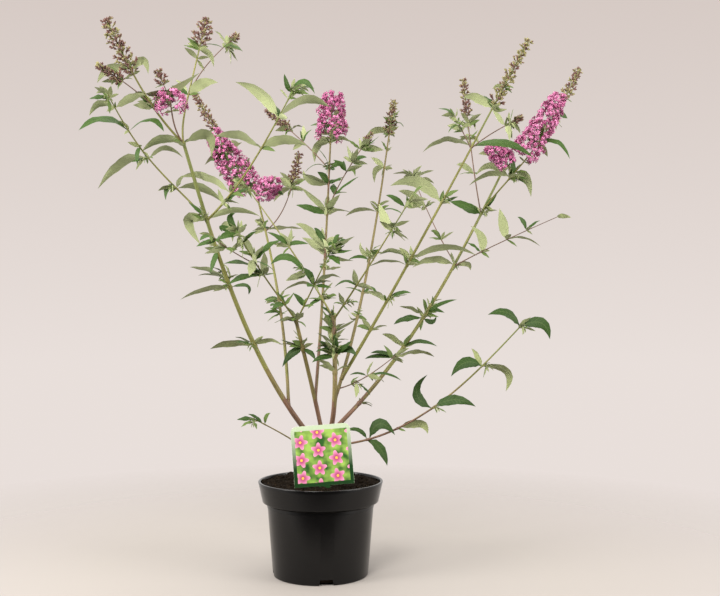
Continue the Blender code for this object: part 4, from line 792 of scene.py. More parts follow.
class Space:
    """The room that one mass keeps to: nearer to its own limbs than to any other mass's."""

    def __init__(self, mass, masses, boughs):
        self.own = masses[mass]
        self.other = np.concatenate([rows for name, rows in masses.items() if name != mass])
        self.boughs = boughs

    def holds(self, places):
        """Whether all the places are in the room and clear of the boughs, label and pot."""
        if (reach(places, self.own) + SPACE_MARGIN > reach(places, self.other)).any():
            return False
        if (reach(places, self.boughs) < BOUGH_MARGIN).any():
            return False
        beside = np.abs(places[:, 0] - LABEL_CENTRE.x) < LABEL_WIDTH * 0.5 + LABEL_MARGIN
        before = places[:, 1] < LABEL_CENTRE.y + LABEL_BACK_MARGIN
        low = places[:, 2] < LABEL_CENTRE.z + LABEL_HEIGHT * 0.5 + LABEL_MARGIN
        over_pot = places[:, 2] < POT_BOX[1].z + POT_MARGIN
        return not ((beside & before & low) | over_pot).any()


# ------------------------------------------------------------------ small leaves and sprigs

def age_and_shade_tint(leaf):
    """Which tint a leaf takes: 0 dark, painted shade low on the bush, to 2 young and small."""
    if leaf.length < YOUNG_LEAF:
        return 2
    # Leaves below this height take the dark tint, painted shade
    return 0 if leaf.points[0].z < SHADED_LEAF_HEIGHT else 1


def small_leaf(space, key, node, axis, turn, length, lean):
    """A small leaf of a sprig or an axil, or none where it has no room."""
    seed = random.Random(key)
    leaf = draw_leaf(seed, node, axis, turn, length, lean)
    shown = seed.uniform(*SMALL_SHOWN) * seed.choice((1, 1, -1))
    leaf.lift = face_up((leaf.points[-1] - node).normalized(), shown)
    return leaf if space.holds(leaf.outline()) else None


def grow_sprig(space, key, node, axis, turn, length):
    """A short shoot in a leaf's axil: a pair of leaves at its end, and finer pairs round them."""
    seed = random.Random(key)
    stem = draw_leaf(seed, node, axis, turn, length, SPRIG_LEAN)
    foot, tip = stem.points[0], along(stem.points, SPRIG_STRAIGHT)
    path = [foot.lerp(tip, i / SPRIG_STEPS) for i in range(SPRIG_STEPS + 1)]
    if not space.holds(np.array(path[1:])):
        return None, []
    leaves = []
    for side in SIDES:
        leaf = draw_leaf(seed, along(path, SPRIG_NODE), direction(path, SPRIG_NODE), side + 90,
                         length, LEAF_LEAN)
        if space.holds(leaf.outline()):
            leaves.append(leaf)
    for pair, (share, size, lean) in enumerate(SPRIG_PAIRS):
        for side in SIDES:
            leaves.append(small_leaf(space, f"{key}-{pair}-{side}", along(path, share),
                                     direction(path, share), side, length * size, lean))
    return path, leaves


def grow_foliage(space, mass, name, row, points):
    """The leaves and the sprigs of one limb, and the small leaves in its axils."""
    leaves = []
    sprigs = []

    def add_small(key, share, turn, length, lean):
        """One small leaf at a share of the limb."""
        leaves.append(small_leaf(space, f"{name}-{key}", along(points, share),
                                 direction(points, share), turn, length, lean))

    for i, line in enumerate(LEAVES.get(name, ())):
        key = f"{name}-{i}"
        node = along(points, line[0])
        leaves.append(place_leaf(space, key, node, line))
        seed = random.Random(key + "-sprig")
        if seed.random() < FINE_SPRIG_CHANCE:
            sprig, small = grow_sprig(space, key, node, direction(points, line[0]),
                                      seed.choice((90, 270)), seed.uniform(*SPRIG_LEAF))
            if sprig:
                sprigs.append(sprig)
                leaves += small
    crowd, short, long = AXIL_GROWTH.get(mass, AXIL_OTHERWISE)
    for share in sorted({line[0] for line in LEAVES.get(name, ())}):
        seed = random.Random(f"{name}-{share}-axils")
        for side in SIDES:
            for i in range(int(crowd + seed.random())):
                add_small(f"{share}-{side}-{i}", share,
                          side + seed.uniform(-AXIL_SWING, AXIL_SWING),
                          seed.uniform(short, long), AXIL_LEAN)
    for kind, start, end, radius in (head[:4] for head in row.heads):
        for side in SIDES:
            add_small(f"{kind}-{side}", start, side, BRACT_LEAF, LEAF_LEAN)
        if kind == "bloom":
            seed = random.Random(f"{name}-bracts")
            for i in range(BLOOM_LEAVES):
                add_small(f"bract-{i}", mix((start, end), seed.uniform(*BRACT_PLACES)),
                          270 + seed.uniform(-BRACT_SWING, BRACT_SWING),
                          radius * seed.uniform(*BRACT_SIZES), LEAF_LEAN)
    if not row.heads:
        for turn, size, lean in TIP_LEAVES:
            add_small(f"tip-{turn}", TIP_NODE, turn, size, lean)
    leaves = [leaf for leaf in leaves if leaf]
    for i, leaf in enumerate(leaves):
        leaf.age = age_and_shade_tint(leaf)
        leaf.key = f"{name}-{i}"
    return leaves, sprigs


# ------------------------------------------------------------------ making tools

class Maker:
    """Adds nodes to a tree, with settings on them and values or links in their inputs."""

    def __init__(self, tree):
        self.tree = tree

    def __call__(self, kind, inputs=None, **settings):
        node = self.tree.nodes.new(kind)
        for name, value in settings.items():
            setattr(node, name, value)
        self.fill(node, inputs or {})
        return node

    def fill(self, node, inputs):
        """Set a node's inputs to values, or link them to sockets."""
        for key, value in inputs.items():
            if isinstance(value, bpy.types.NodeSocket):
                self.tree.links.new(value, node.inputs[key])
            else:
                node.inputs[key].default_value = value

    def math(self, operation, *values):
        """The result of one sum."""
        return self("ShaderNodeMath", dict(enumerate(values)), operation=operation).outputs[0]

    def vector(self, operation, *values, result="Vector"):
        """The result of one sum on vectors."""
        node = self("ShaderNodeVectorMath", dict(enumerate(values)), operation=operation)
        return node.outputs[result]

    def scaled(self, vector, factor):
        """A vector times a number."""
        return self("ShaderNodeVectorMath", {0: vector, "Scale": factor},
                    operation="SCALE").outputs[0]

    def noise(self, vector, scale, detail):
        """Soft noise from 0 to 1."""
        return self("ShaderNodeTexNoise", {"Vector": vector, "Scale": scale,
                                           "Detail": detail}).outputs[0]

    def blend(self, mask, first, second):
        """The first colour where the mask is 0, and the second where it is 1."""
        node = self("ShaderNodeMix", {0: mask, 6: opaque(first), 7: opaque(second)},
                    data_type="RGBA")
        return node.outputs[2]

    def ramp(self, value, low, high):
        """How far a value is from low to high, kept to 0 to 1."""
        return self("ShaderNodeMapRange", {0: value, 1: low, 2: high}, clamp=True).outputs[0]

    def group(self, name, inputs):
        """The sockets of a shader group placed in a material."""
        group = bpy.data.node_groups.get(name) or GROUPS[name]()
        return self("ShaderNodeGroup", inputs, node_tree=group).outputs


def opaque(value):
    """A colour with its alpha, or the socket that brings one."""
    return value if isinstance(value, bpy.types.NodeSocket) else (*value[:3], 1)


def tinted(first, second, share):
    """A colour part of the way from one to another."""
    return tuple(mix(pair, share) for pair in zip(first, second))


def new_tree(name, kind, inputs, outputs):
    """A node group with named inputs and outputs, its maker and its group input's sockets."""
    tree = bpy.data.node_groups.new(name, kind)
    for way, sockets in (("INPUT", inputs), ("OUTPUT", outputs)):
        for label, (socket_kind, default) in sockets.items():
            socket = tree.interface.new_socket(label, in_out=way,
                                               socket_type="NodeSocket" + socket_kind)
            if default is not None:
                socket.default_value = default
    add = Maker(tree)
    return tree, add, add("NodeGroupInput").outputs


def add_object(name, data):
    """A new object in the scene."""
    made = bpy.data.objects.new(name, data)
    bpy.context.scene.collection.objects.link(made)
    return made


def evaluated_mesh(shape):
    """The plain mesh of an object with its modifiers, which are then removed with it."""
    bpy.context.view_layer.update()
    depsgraph = bpy.context.evaluated_depsgraph_get()
    mesh = bpy.data.meshes.new_from_object(shape.evaluated_get(depsgraph),
                                           preserve_all_data_layers=True, depsgraph=depsgraph)
    shape.modifiers.clear()
    bpy.data.objects.remove(shape)
    return mesh


def run_tree(mesh, tree, values):
    """A plain mesh from a mesh that a geometry tree works on."""
    shape = add_object(tree.name, mesh)
    modifier = shape.modifiers.new(tree.name, "NODES")
    modifier.node_group = tree
    for item in tree.interface.items_tree:
        if item.in_out == "INPUT" and item.name in values:
            modifier[item.identifier] = values[item.name]
    return evaluated_mesh(shape)


def point_mesh(name, places, edges=(), **attributes):
    """A mesh of points, and edges between them, with named numbers or vectors on the points."""
    mesh = bpy.data.meshes.new(name)
    mesh.from_pydata([tuple(place) for place in places], edges, [])
    for label, values in attributes.items():
        flat = np.asarray(values, float)
        kind = "FLOAT" if flat.ndim == 1 else "FLOAT_VECTOR"
        layer = mesh.attributes.new(label, kind, "POINT")
        layer.data.foreach_set("value" if kind == "FLOAT" else "vector", flat.ravel())
    return mesh


def mesh_of(work, name):
    """The mesh that was being worked on."""
    mesh = bpy.data.meshes.new(name)
    work.to_mesh(mesh)
    work.free()
    return mesh


def shape_object(name, work):
    """A hidden object for a geometry tree to repeat."""
    mesh = mesh_of(work, name)
    mesh.shade_smooth()
    made = add_object(name, mesh)
    made.hide_render = True
    return made


def turned_rings(work, profile, sides, ripple=None):
    """Rings of corners about Z from a profile of radius and height, one corner at radius 0."""
    rings = []
    for radius, height in profile:
        ring = []
        for i in range(sides if radius else 1):
            turn = math.tau * i / sides
            place = Vector((radius * math.cos(turn), radius * math.sin(turn), height))
            if radius and ripple:
                place.z += ripple(place)
            ring.append(work.verts.new(place))
        rings.append(ring)
    return rings


def bridge(work, rings):
    """Faces from each ring of corners to the next, either of which may be one corner."""
    for low, high in zip(rings, rings[1:]):
        sides = max(len(low), len(high))
        for i in range(sides):
            j = (i + 1) % sides
            corners = (low[i % len(low)], low[j % len(low)], high[j % len(high)],
                       high[i % len(high)])
            work.faces.new(list(dict.fromkeys(corners)))


def show(name, mesh, materials, nodes=(), sharp=None):
    """A finished piece: its materials, what it rides on and what it stands for."""
    mesh.name = name
    for material in materials:
        mesh.materials.append(material)
    mesh.shade_smooth()
    if sharp:
        mesh.set_sharp_from_angle(angle=math.radians(sharp))
    piece = add_object(name, mesh)
    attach(piece, "root")
    if nodes:
        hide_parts(*nodes)
    return piece


# ------------------------------------------------------------------ geometry trees

def geometry_tree(name, inputs):
    """A geometry tree with one shape in, one out, and named inputs."""
    shape = {"Geometry": ("Geometry", None)}
    return new_tree(name, "GeometryNodeTree", {**shape, **inputs}, shape)


def named(add, label, kind="FLOAT"):
    """A named attribute's socket."""
    node = add("GeometryNodeInputNamedAttribute", {"Name": label}, data_type=kind)
    return next(out for out in node.outputs if out.enabled and out.name == "Attribute")


def stored(add, shape, label, value):
    """A shape with a vector stored on its points."""
    return add("GeometryNodeStoreNamedAttribute", {"Geometry": shape, "Name": label,
                                                   "Value": value},
               data_type="FLOAT_VECTOR", domain="POINT").outputs[0]


def cane_tree():
    """Lines with a thickness, made into round canes whose bark is ridged and dealt out by tone.

    The ring attribute goes round a cane and skin runs along it, both in metres.
    """
    tree, add, given = geometry_tree("cane", {
        "Sides": ("Int", 12), "Relief": ("Float", 0.0008), "Grain": ("Float", 420.0),
        **{f"Tone {i}": ("Material", None) for i in range(TONES)}})
    line = add("GeometryNodeMeshToCurve", {"Mesh": given["Geometry"]})
    circle = add("GeometryNodeCurvePrimitiveCircle", {"Resolution": given["Sides"], "Radius": 1.0},
                 mode="RADIUS")
    ring = stored(add, circle.outputs[0], "ring", add("GeometryNodeInputPosition").outputs[0])
    tube = add("GeometryNodeCurveToMesh", {"Curve": line.outputs[0], "Profile Curve": ring,
                                           "Scale": named(add, "thickness"), "Fill Caps": True})
    along_it = add("ShaderNodeCombineXYZ", {"Z": named(add, "along")}).outputs[0]
    round_it = add.scaled(named(add, "ring", "FLOAT_VECTOR"), named(add, "thickness"))
    tube = stored(add, tube.outputs[0], "skin", add.vector("ADD", round_it, along_it))
    stretched = add.vector("MULTIPLY", named(add, "skin", "FLOAT_VECTOR"), (1, 1, 0.10))
    ridges = add.math("SUBTRACT", add.noise(stretched, given["Grain"], 3.0), 0.5)
    height = add.math("MULTIPLY", add.math("MULTIPLY", ridges, given["Relief"]),
                      named(add, "wood"))
    normal = add("GeometryNodeInputNormal").outputs[0]
    tube = add("GeometryNodeSetPosition", {"Geometry": tube, "Offset": add.scaled(normal, height)})
    whole = add("GeometryNodeRealizeInstances", {"Geometry": tube.outputs[0]})
    streaks = add.math("SUBTRACT", add.noise(stretched, 160.0, 2.0), 0.5)
    tone = add.math("ADD", named(add, "tone"), add.math("MULTIPLY", streaks, 2.2))
    for i in range(TONES):
        operation, edge = ("GREATER_THAN", i - 0.5) if i else ("LESS_THAN", 0.5)
        near = add("FunctionNodeCompare", {"A": tone, "B": edge}, data_type="FLOAT",
                   operation=operation)
        whole = add("GeometryNodeSetMaterial", {"Geometry": whole.outputs[0],
                                                "Selection": near.outputs[0],
                                                "Material": given[f"Tone {i}"]})
    add("NodeGroupOutput", {"Geometry": whole.outputs[0]})
    return tree


def repeat_tree(name, inputs, place):
    """A tree that repeats a small shape, given how to make its points, turns and scales."""
    tree, add, given = geometry_tree(name, {"Shape": ("Object", None), **inputs,
                                            "Material": ("Material", None)})
    shape = add("GeometryNodeObjectInfo", {"Object": given["Shape"]})
    points, turn, scale = place(add, given)
    placed = add("GeometryNodeInstanceOnPoints", {
        "Points": points, "Instance": shape.outputs["Geometry"], "Rotation": turn,
        "Scale": scale})
    whole = add("GeometryNodeRealizeInstances", {"Geometry": placed.outputs[0]})
    whole = add("GeometryNodeSetMaterial", {"Geometry": whole.outputs[0],
                                            "Material": given["Material"]})
    add("NodeGroupOutput", {"Geometry": whole.outputs[0]})
    return tree


def aimed_points(add, given):
    """The points given, each turned to its aim and spun about it."""
    points = add("GeometryNodeMeshToPoints", {"Mesh": given["Geometry"]})
    turn = add("FunctionNodeAlignRotationToVector", {"Vector": named(add, "aim", "FLOAT_VECTOR")},
               axis="Z")
    angle = add("FunctionNodeRandomValue", {3: math.tau, "Seed": given["Seed"]},
                data_type="FLOAT")
    spin = add("FunctionNodeAxisAngleToRotation", {"Axis": (0, 0, 1), "Angle": angle.outputs[1]})
    spun = add("FunctionNodeRotateRotation", {"Rotation": turn.outputs[0],
                                              "Rotate By": spin.outputs[0]},
               rotation_space="LOCAL")
    return (points.outputs[0], spun.outputs[0],
            add.math("MULTIPLY", named(add, "size"), given["Size"]))


def strewn_points(add, given):
    """Points strewn on the level faces, turned every way, with few large among many small."""
    up = add("ShaderNodeSeparateXYZ", {0: add("GeometryNodeInputNormal").outputs[0]})
    level = add("FunctionNodeCompare", {"A": up.outputs[2], "B": 0.3}, data_type="FLOAT",
                operation="GREATER_THAN")
    strewn = add("GeometryNodeDistributePointsOnFaces",
                 {"Mesh": given["Geometry"], "Selection": level.outputs[0],
                  "Density": given["Density"], "Seed": given["Seed"]})
    turn = add("FunctionNodeRandomValue", {1: (math.tau, math.tau, math.tau),
                                           "Seed": given["Seed"]}, data_type="FLOAT_VECTOR")
    draw = add("FunctionNodeRandomValue", {"Seed": given["Seed"]}, data_type="FLOAT")
    share = add.math("ADD", add.math("POWER", draw.outputs[1], 4.0), 0.22)
    return strewn.outputs[0], turn.outputs[0], add.math("MULTIPLY", share, given["Size"])


def scatter_tree():
    """A small shape set on each point, turned to the point's aim."""
    return repeat_tree("scatter", {"Size": ("Float", 1.0), "Seed": ("Int", 5)}, aimed_points)


def crumb_tree():
    """Crumbs strewn on the top of the compost."""
    return repeat_tree("crumbs", {"Density": ("Float", 1.0), "Size": ("Float", 0.001),
                                  "Seed": ("Int", 3)}, strewn_points)


# ------------------------------------------------------------------ finishes

def mottle_group():
    """A colour made uneven by soft blotches, and the mask of them."""
    tree, add, given = new_tree("mottle", "ShaderNodeTree",
                                {"Vector": ("Vector", None), "Colour": ("Color", None),
                                 "Scale": ("Float", 100.0), "Amount": ("Float", 0.2)},
                                {"Colour": ("Color", None), "Mask": ("Float", None)})
    mask = add.ramp(add.noise(given["Vector"], given["Scale"], 4.0), 0.3, 0.7)
    change = add.math("MULTIPLY_ADD", add.math("SUBTRACT", mask, 0.5), given["Amount"], 1.0)
    add("NodeGroupOutput", {"Colour": add.scaled(given["Colour"], change), "Mask": mask})
    return tree


def grain_group():
    """A normal roughened by fine noise."""
    tree, add, given = new_tree("grain", "ShaderNodeTree",
                                {"Vector": ("Vector", None), "Scale": ("Float", 900.0),
                                 "Depth": ("Float", 0.0003)}, {"Normal": ("Vector", None)})
    fine = add.noise(given["Vector"], given["Scale"], 3.0)
    bump = add("ShaderNodeBump", {"Height": fine, "Distance": given["Depth"]})
    add("NodeGroupOutput", {"Normal": bump.outputs[0]})
    return tree


def vein_group():
    """The midrib, side veins and net of a blade, from its own UV map, as a mask and a normal."""
    tree, add, given = new_tree("veins", "ShaderNodeTree",
                                {"Depth": ("Float", 0.0003)},
                                {"Mask": ("Float", None), "Normal": ("Vector", None)})
    uv = add("ShaderNodeUVMap", uv_map="UVMap").outputs[0]
    parts = add("ShaderNodeSeparateXYZ", {0: uv}).outputs
    out = add.math("ABSOLUTE", add.math("SUBTRACT", parts[0], 0.5))
    rib = add.ramp(out, 0.035, 0.012)
    slanted = add.math("SUBTRACT", parts[1], add.math("MULTIPLY", out, 0.22))
    beat = add.math("ABSOLUTE", add.math("SUBTRACT", add.math(
        "FRACT", add.math("MULTIPLY", slanted, VEIN_PAIRS)), 0.5))
    side = add.math("MULTIPLY", add.ramp(beat, 0.10, 0.02), add.ramp(out, 0.5, 0.36))
    cells = add("ShaderNodeTexVoronoi", {"Vector": add.vector("MULTIPLY", uv, (9, 40, 1)),
                                         "Scale": 1.0}, feature="DISTANCE_TO_EDGE")
    net = add.math("MULTIPLY", add.ramp(cells.outputs[0], 0.12, 0.0), 0.12)
    ribs = add.math("MAXIMUM", rib, add.math("MULTIPLY", side, 0.7))
    bump = add("ShaderNodeBump", {"Height": ribs, "Distance": given["Depth"]})
    add("NodeGroupOutput", {"Mask": add.math("MAXIMUM", ribs, net), "Normal": bump.outputs[0]})
    return tree


GROUPS = {"mottle": mottle_group, "grain": grain_group, "veins": vein_group}
Surface = namedtuple("Surface", "material add shader place colour mask")


def finish(name, values):
    """A new Principled material with some of its values, its nodes' maker and its shader."""
    material = bpy.data.materials.new(name)
    material.use_nodes = True
    add = Maker(material.node_tree)
    shader = material.node_tree.nodes["Principled BSDF"]
    add.fill(shader, values)
    return material, add, shader


def object_place(add):
    """Object coordinates."""
    return add("ShaderNodeTexCoord").outputs["Object"]


def surface(name, tint, blotches, grain, values, placed=object_place):
    """A material with a mottled colour and a grained normal.

    Blotches are a scale and a strength, and grain is a scale and a depth, or None.
    """
    material, add, shader = finish(name, values)
    place = placed(add)
    mottled = add.group("mottle", {"Vector": place, "Colour": opaque(tint),
                                   "Scale": blotches[0], "Amount": blotches[1]})
    add.fill(shader, {"Base Color": mottled["Colour"]})
    if grain:
        fine = add.group("grain", {"Vector": place, "Scale": grain[0], "Depth": grain[1]})
        add.fill(shader, {"Normal": fine["Normal"]})
    return Surface(material, add, shader, place, mottled["Colour"], mottled["Mask"])


def plastic_finish(name, tint):
    """Moulded black plastic, satin, with faint scuffs and dust."""
    made = surface(name, tint, (60.0, 0.15), (350.0, 0.000008), {"Specular IOR Level": 0.30})
    add = made.add
    dust = add.math("MULTIPLY", add.ramp(add.noise(made.place, 220.0, 6.0), 0.62, 0.78), 0.04)
    add.fill(made.shader, {"Base Color": add.blend(dust, made.colour, (0.12, 0.10, 0.08)),
                           "Roughness": add.math("MULTIPLY_ADD", made.mask, 0.06, 0.17)})
    return made.material


def compost_finish(name, tint):
    """Damp crumbling peat with paler fibres."""
    made = surface(name, tint, (260.0, 1.1), (1400.0, 0.0008),
                   {"Roughness": 0.95, "Specular IOR Level": 0.06})
    add = made.add
    fibre = add.math("MULTIPLY", add.ramp(add.noise(made.place, 500.0, 2.0), 0.66, 0.76), 0.55)
    add.fill(made.shader, {"Base Color": add.blend(fibre, made.colour, (0.20, 0.125, 0.06))})
    return made.material


def bark_finish(name, tint, depth, streak):
    """The bark of a cane: streaks along it, fine ridges and small pale pores."""
    def skin(add, squeeze):
        """The place round and along the cane, squeezed along it."""
        place = add("ShaderNodeAttribute", attribute_name="skin").outputs["Vector"]
        return add.vector("MULTIPLY", place, (1, 1, squeeze))

    made = surface(name, tint, (520.0, streak), (1100.0, depth), {"Roughness": 0.62},
                   lambda add: skin(add, 0.07))
    add = made.add
    pores = add("ShaderNodeTexVoronoi", {"Vector": skin(add, 0.35), "Scale": 420.0})
    pore = add.math("MULTIPLY", add.ramp(pores.outputs["Distance"], 0.22, 0.12), 0.18)
    pale = tinted(tint, (0.5, 0.42, 0.28), 0.5)
    add.fill(made.shader, {"Base Color": add.blend(pore, made.colour, pale)})
    return made.material


def blade_finish(name, tint, upper):
    """One side of a leaf: green with sunken veins above, grey felt with raised ones below."""
    felt = {} if upper else {"Sheen Weight": 0.10, "Sheen Roughness": 0.6}
    made = surface(name, tint, (45.0, 0.22), None,
                   {"Roughness": 0.55 if upper else 0.9, "Specular IOR Level": 0.2, **felt})
    add = made.add
    veins = add.group("veins", {"Depth": -0.00006 if upper else 0.00006})
    pale = tinted(tint, (0.42, 0.50, 0.20), 0.35 if upper else 0.50)
    share = add.math("MULTIPLY", veins["Mask"], 0.30 if upper else 0.60)
    add.fill(made.shader, {"Base Color": add.blend(share, made.colour, pale),
                           "Normal": veins["Normal"]})
    return made.material


def petal_finish(name, tint, amount=0.3):
    """Soft florets and buds, each a little lighter or darker."""
    return surface(name, tint, (170.0, amount), (2600.0, 0.0002),
                   {"Roughness": 0.6, "Sheen Weight": 0.15}).material


def print_finish(name, green, pink):
    """The label's printed face: pale at the top, deep green below, and a panel of rosettes."""
    material, add, shader = finish(name, {"Roughness": 0.28})
    uv = add("ShaderNodeUVMap", uv_map="UVMap").outputs[0]
    u, v = add("ShaderNodeSeparateXYZ", {0: uv}).outputs[:2]

    def within(value, middle, half):
        """1 where a value is within some reach of the middle, and 0 elsewhere."""
        return add.math("LESS_THAN", add.math("ABSOLUTE", add.math("SUBTRACT", value, middle)),
                        half)

    def from_middle(value):
        """How far a value is from the middle of its cell."""
        return add.math("SUBTRACT", add.math("FRACT", value), 0.5)

    border = add.blend(add.ramp(v, 0.95, 0.30), (0.42, 0.50, 0.34), (0.008, 0.036, 0.008))
    panel = add.math("MULTIPLY", within(u, 0.5, 0.44), within(v, 0.49, 0.43))
    ground = add.blend(add.ramp(add.noise(uv, 5.0, 2.0), 0.35, 0.62),
                       tinted(green, (0, 0, 0), 0.55), tinted(green, (0.45, 0.62, 0.12), 0.55))
    across = add.math("MULTIPLY", u, ROSETTE_COLUMNS)
    column = add.math("FLOOR", across)
    shift = add.math("MULTIPLY", add.math("MODULO", column, 2.0), 0.5)
    down = add.math("ADD", add.math("MULTIPLY", v, ROSETTE_COLUMNS), shift)
    x, y = from_middle(across), from_middle(down)
    out = add.math("SQRT", add.math("ADD", add.math("MULTIPLY", x, x), add.math("MULTIPLY", y, y)))
    turn = add.math("ADD", add.math("ARCTAN2", y, x), column)
    rim = add.math("MULTIPLY_ADD", add.math("COSINE", add.math("MULTIPLY", turn, 5.0)), 0.09, 0.34)
    shade = add.blend(add.ramp(out, 0.08, 0.40), tinted(pink, (0.1, 0, 0.02), 0.6),
                      tinted(pink, (1, 0.8, 0.9), 0.25))
    shade = add.blend(add.math("LESS_THAN", out, 0.075), shade, (0.80, 0.48, 0.06))
    face = add.blend(add.math("LESS_THAN", out, rim), ground, shade)
    add.fill(shader, {"Base Color": add.blend(panel, border, face)})
    return material


def floor_finish(name, tint):
    """The plain floor, which fades out into the backdrop."""
    material, add, shader = finish(name, {"Base Color": opaque(tint), "Roughness": 0.75,
                                          "Specular IOR Level": 0.2})
    place = object_place(add)
    out = add.vector("LENGTH", place, result="Value")
    y = add("ShaderNodeSeparateXYZ", {0: place}).outputs[1]
    add.fill(shader, {"Alpha": add.math("MULTIPLY", add.ramp(out, *FLOOR_FADE[::-1]),
                                        add.ramp(y, *FLOOR_FRONT))})
    return material


# ------------------------------------------------------------------ pot, compost and label

def eased(value, start, run):
    """How far a value is along a run from its start, kept to 0 to 1."""
    return min(1, max(0, (value - start) / run))


def sweep_round(name, profile, ripple=None):
    """A closed turned mesh from a profile of radius and height that starts and ends at 0."""
    work = bmesh.new()
    bridge(work, turned_rings(work, profile, POT_SIDES, ripple))
    bmesh.ops.recalc_face_normals(work, faces=work.faces)
    return mesh_of(work, name)


def arc(centre, radius, start, end, steps=4):
    """Points on a round edge of a profile, from one angle to another in degrees."""
    points = []
    for i in range(steps + 1):
        turn = math.radians(mix((start, end), i / steps))
        points.append((centre[0] + radius * math.cos(turn), centre[1] + radius * math.sin(turn)))
    return points


def pot_profile(height, rim):
    """The pot's outer and inner walls, from the middle of its underside round to its floor."""
    foot = rim - POT_TAPER
    band = height - POT_BAND_HEIGHT
    waist = rim - POT_WAIST
    lip = POT_LIP
    outer = [(0, 0), (foot - 0.012, 0)] + arc((foot - 0.002, 0.0025), 0.0025, -90, -8)
    outer += [(waist - 0.0008, band - 0.0080), (waist, band - 0.0074), (waist, band - 0.0022)]
    outer += arc((waist + 0.0022, band - 0.0022), 0.0022, 180, 90)[1:]
    outer += arc((rim - 0.0078, band + 0.0012), 0.0012, -90, -5)
    outer += [(rim - 0.0012, height - 0.0060)] + arc((rim - lip, height - lip), lip, 0, 90)
    inner = arc((rim - POT_WALL - lip, height - lip), lip * 0.8, 90, 160)
    inner += [(rim - POT_WALL - 0.0062, band), (waist - POT_WALL, band - 0.004)]
    inner += [(foot - POT_WALL, POT_FLOOR), (0, POT_FLOOR)]
    return outer + inner


def cut_notches(mesh, foot):
    """Open the drainage notches round the pot's foot."""
    cutters = bpy.data.collections.new("notches")
    bpy.context.scene.collection.children.link(cutters)
    for i in range(NOTCH_COUNT):
        work = bmesh.new()
        bmesh.ops.create_cube(work, size=1)
        for corner in work.verts:
            high = corner.co.z > 0
            corner.co.x = foot - NOTCH_DEPTH + (NOTCH_DEPTH + 0.02) * (corner.co.x + 0.5)
            corner.co.y *= NOTCH_WIDTH * (NOTCH_TAPER if high else 1.0)
            corner.co.z = NOTCH_HEIGHT if high else -0.01
        turn = math.radians(NOTCH_BEARING + 360 / NOTCH_COUNT * i)
        bmesh.ops.rotate(work, verts=work.verts, matrix=Matrix.Rotation(turn, 3, "Z"))
        cutters.objects.link(bpy.data.objects.new("notch", mesh_of(work, "notch")))
    shape = add_object("pot_cut", mesh)
    cut = shape.modifiers.new("notches", "BOOLEAN")
    cut.operation = "DIFFERENCE"
    cut.operand_type = "COLLECTION"
    cut.collection = cutters
    made = evaluated_mesh(shape)
    for block in list(cutters.objects):
        bpy.data.objects.remove(block)
    bpy.data.collections.remove(cutters)
    return made


def lumps(place):
    """How far the compost stands above its level at a place.

    It is mounded and calm at the stem, banked at the wall and heaped up before the label.
    """
    out = math.hypot(place.x, place.y)
    if place.z < SOIL_HEIGHT - 0.004:
        return 0
    fine = sum(noise.noise(place * beat) * high for beat, high in SOIL_LUMPS)
    bank = BANK_HEIGHT * eased(out, *BANK_RUN) * (1 if place.y > BANK_FRONT else BANK_LOW)
    off = place.xy - LABEL_CENTRE.xy - HEAP_OFFSET
    heap = HEAP_HEIGHT * math.exp(-(off.x / HEAP_WIDTH) ** 2 - (off.y / HEAP_DEPTH) ** 2)
    mound = SOIL_MOUND * max(0, 1 - out / MOUND_RADIUS)
    return mound + fine * eased(out, *CALM_RUN) + bank + heap + SOIL_RISE


def compost_profile(height, rim):
    """The top of the compost, then its side down the inside of the pot."""
    wide = rim - POT_WALL - 0.0022
    top = [(wide * i / COMPOST_RINGS, SOIL_HEIGHT) for i in range(COMPOST_RINGS)]
    band = height - POT_BAND_HEIGHT
    waist = rim - POT_WAIST - POT_WALL - CLEARANCE
    side = [(wide - 0.0006, SOIL_HEIGHT - 0.002), (wide - 0.0060, band + 0.001),
            (waist, band - 0.006), (rim - POT_TAPER - POT_WALL - 0.0016, POT_FLOOR + CLEARANCE)]
    return top + side + [(0, POT_FLOOR + CLEARANCE)]


def crumb_shape():
    """One rough crumb of peat, a unit across."""
    work = bmesh.new()
    bmesh.ops.create_icosphere(work, subdivisions=1, radius=0.5)
    for corner in work.verts:
        corner.co *= 0.78 + 0.5 * noise.noise(corner.co * 2.7 + Vector((3, 1, 2)))
        corner.co.z *= 0.62
    return shape_object("crumb", work)


def label_outline():
    """The label's outline: a rounded plate with a pointed stake below it."""
    wide = LABEL_WIDTH * 0.5
    high = LABEL_HEIGHT * 0.5
    stake = STAKE_WIDTH * 0.5
    points = []
    for corner, start in ((1, 0), (-1, 90)):
        centre = (corner * (wide - LABEL_CORNER), high - LABEL_CORNER)
        points += arc(centre, LABEL_CORNER, start, start + 90, 8)
    point = -high - STAKE_LENGTH * 0.8
    return points + [(-wide, -high), (-stake, -high), (-stake, point), (0, -high - STAKE_LENGTH),
                     (stake, point), (stake, -high), (wide, -high)]


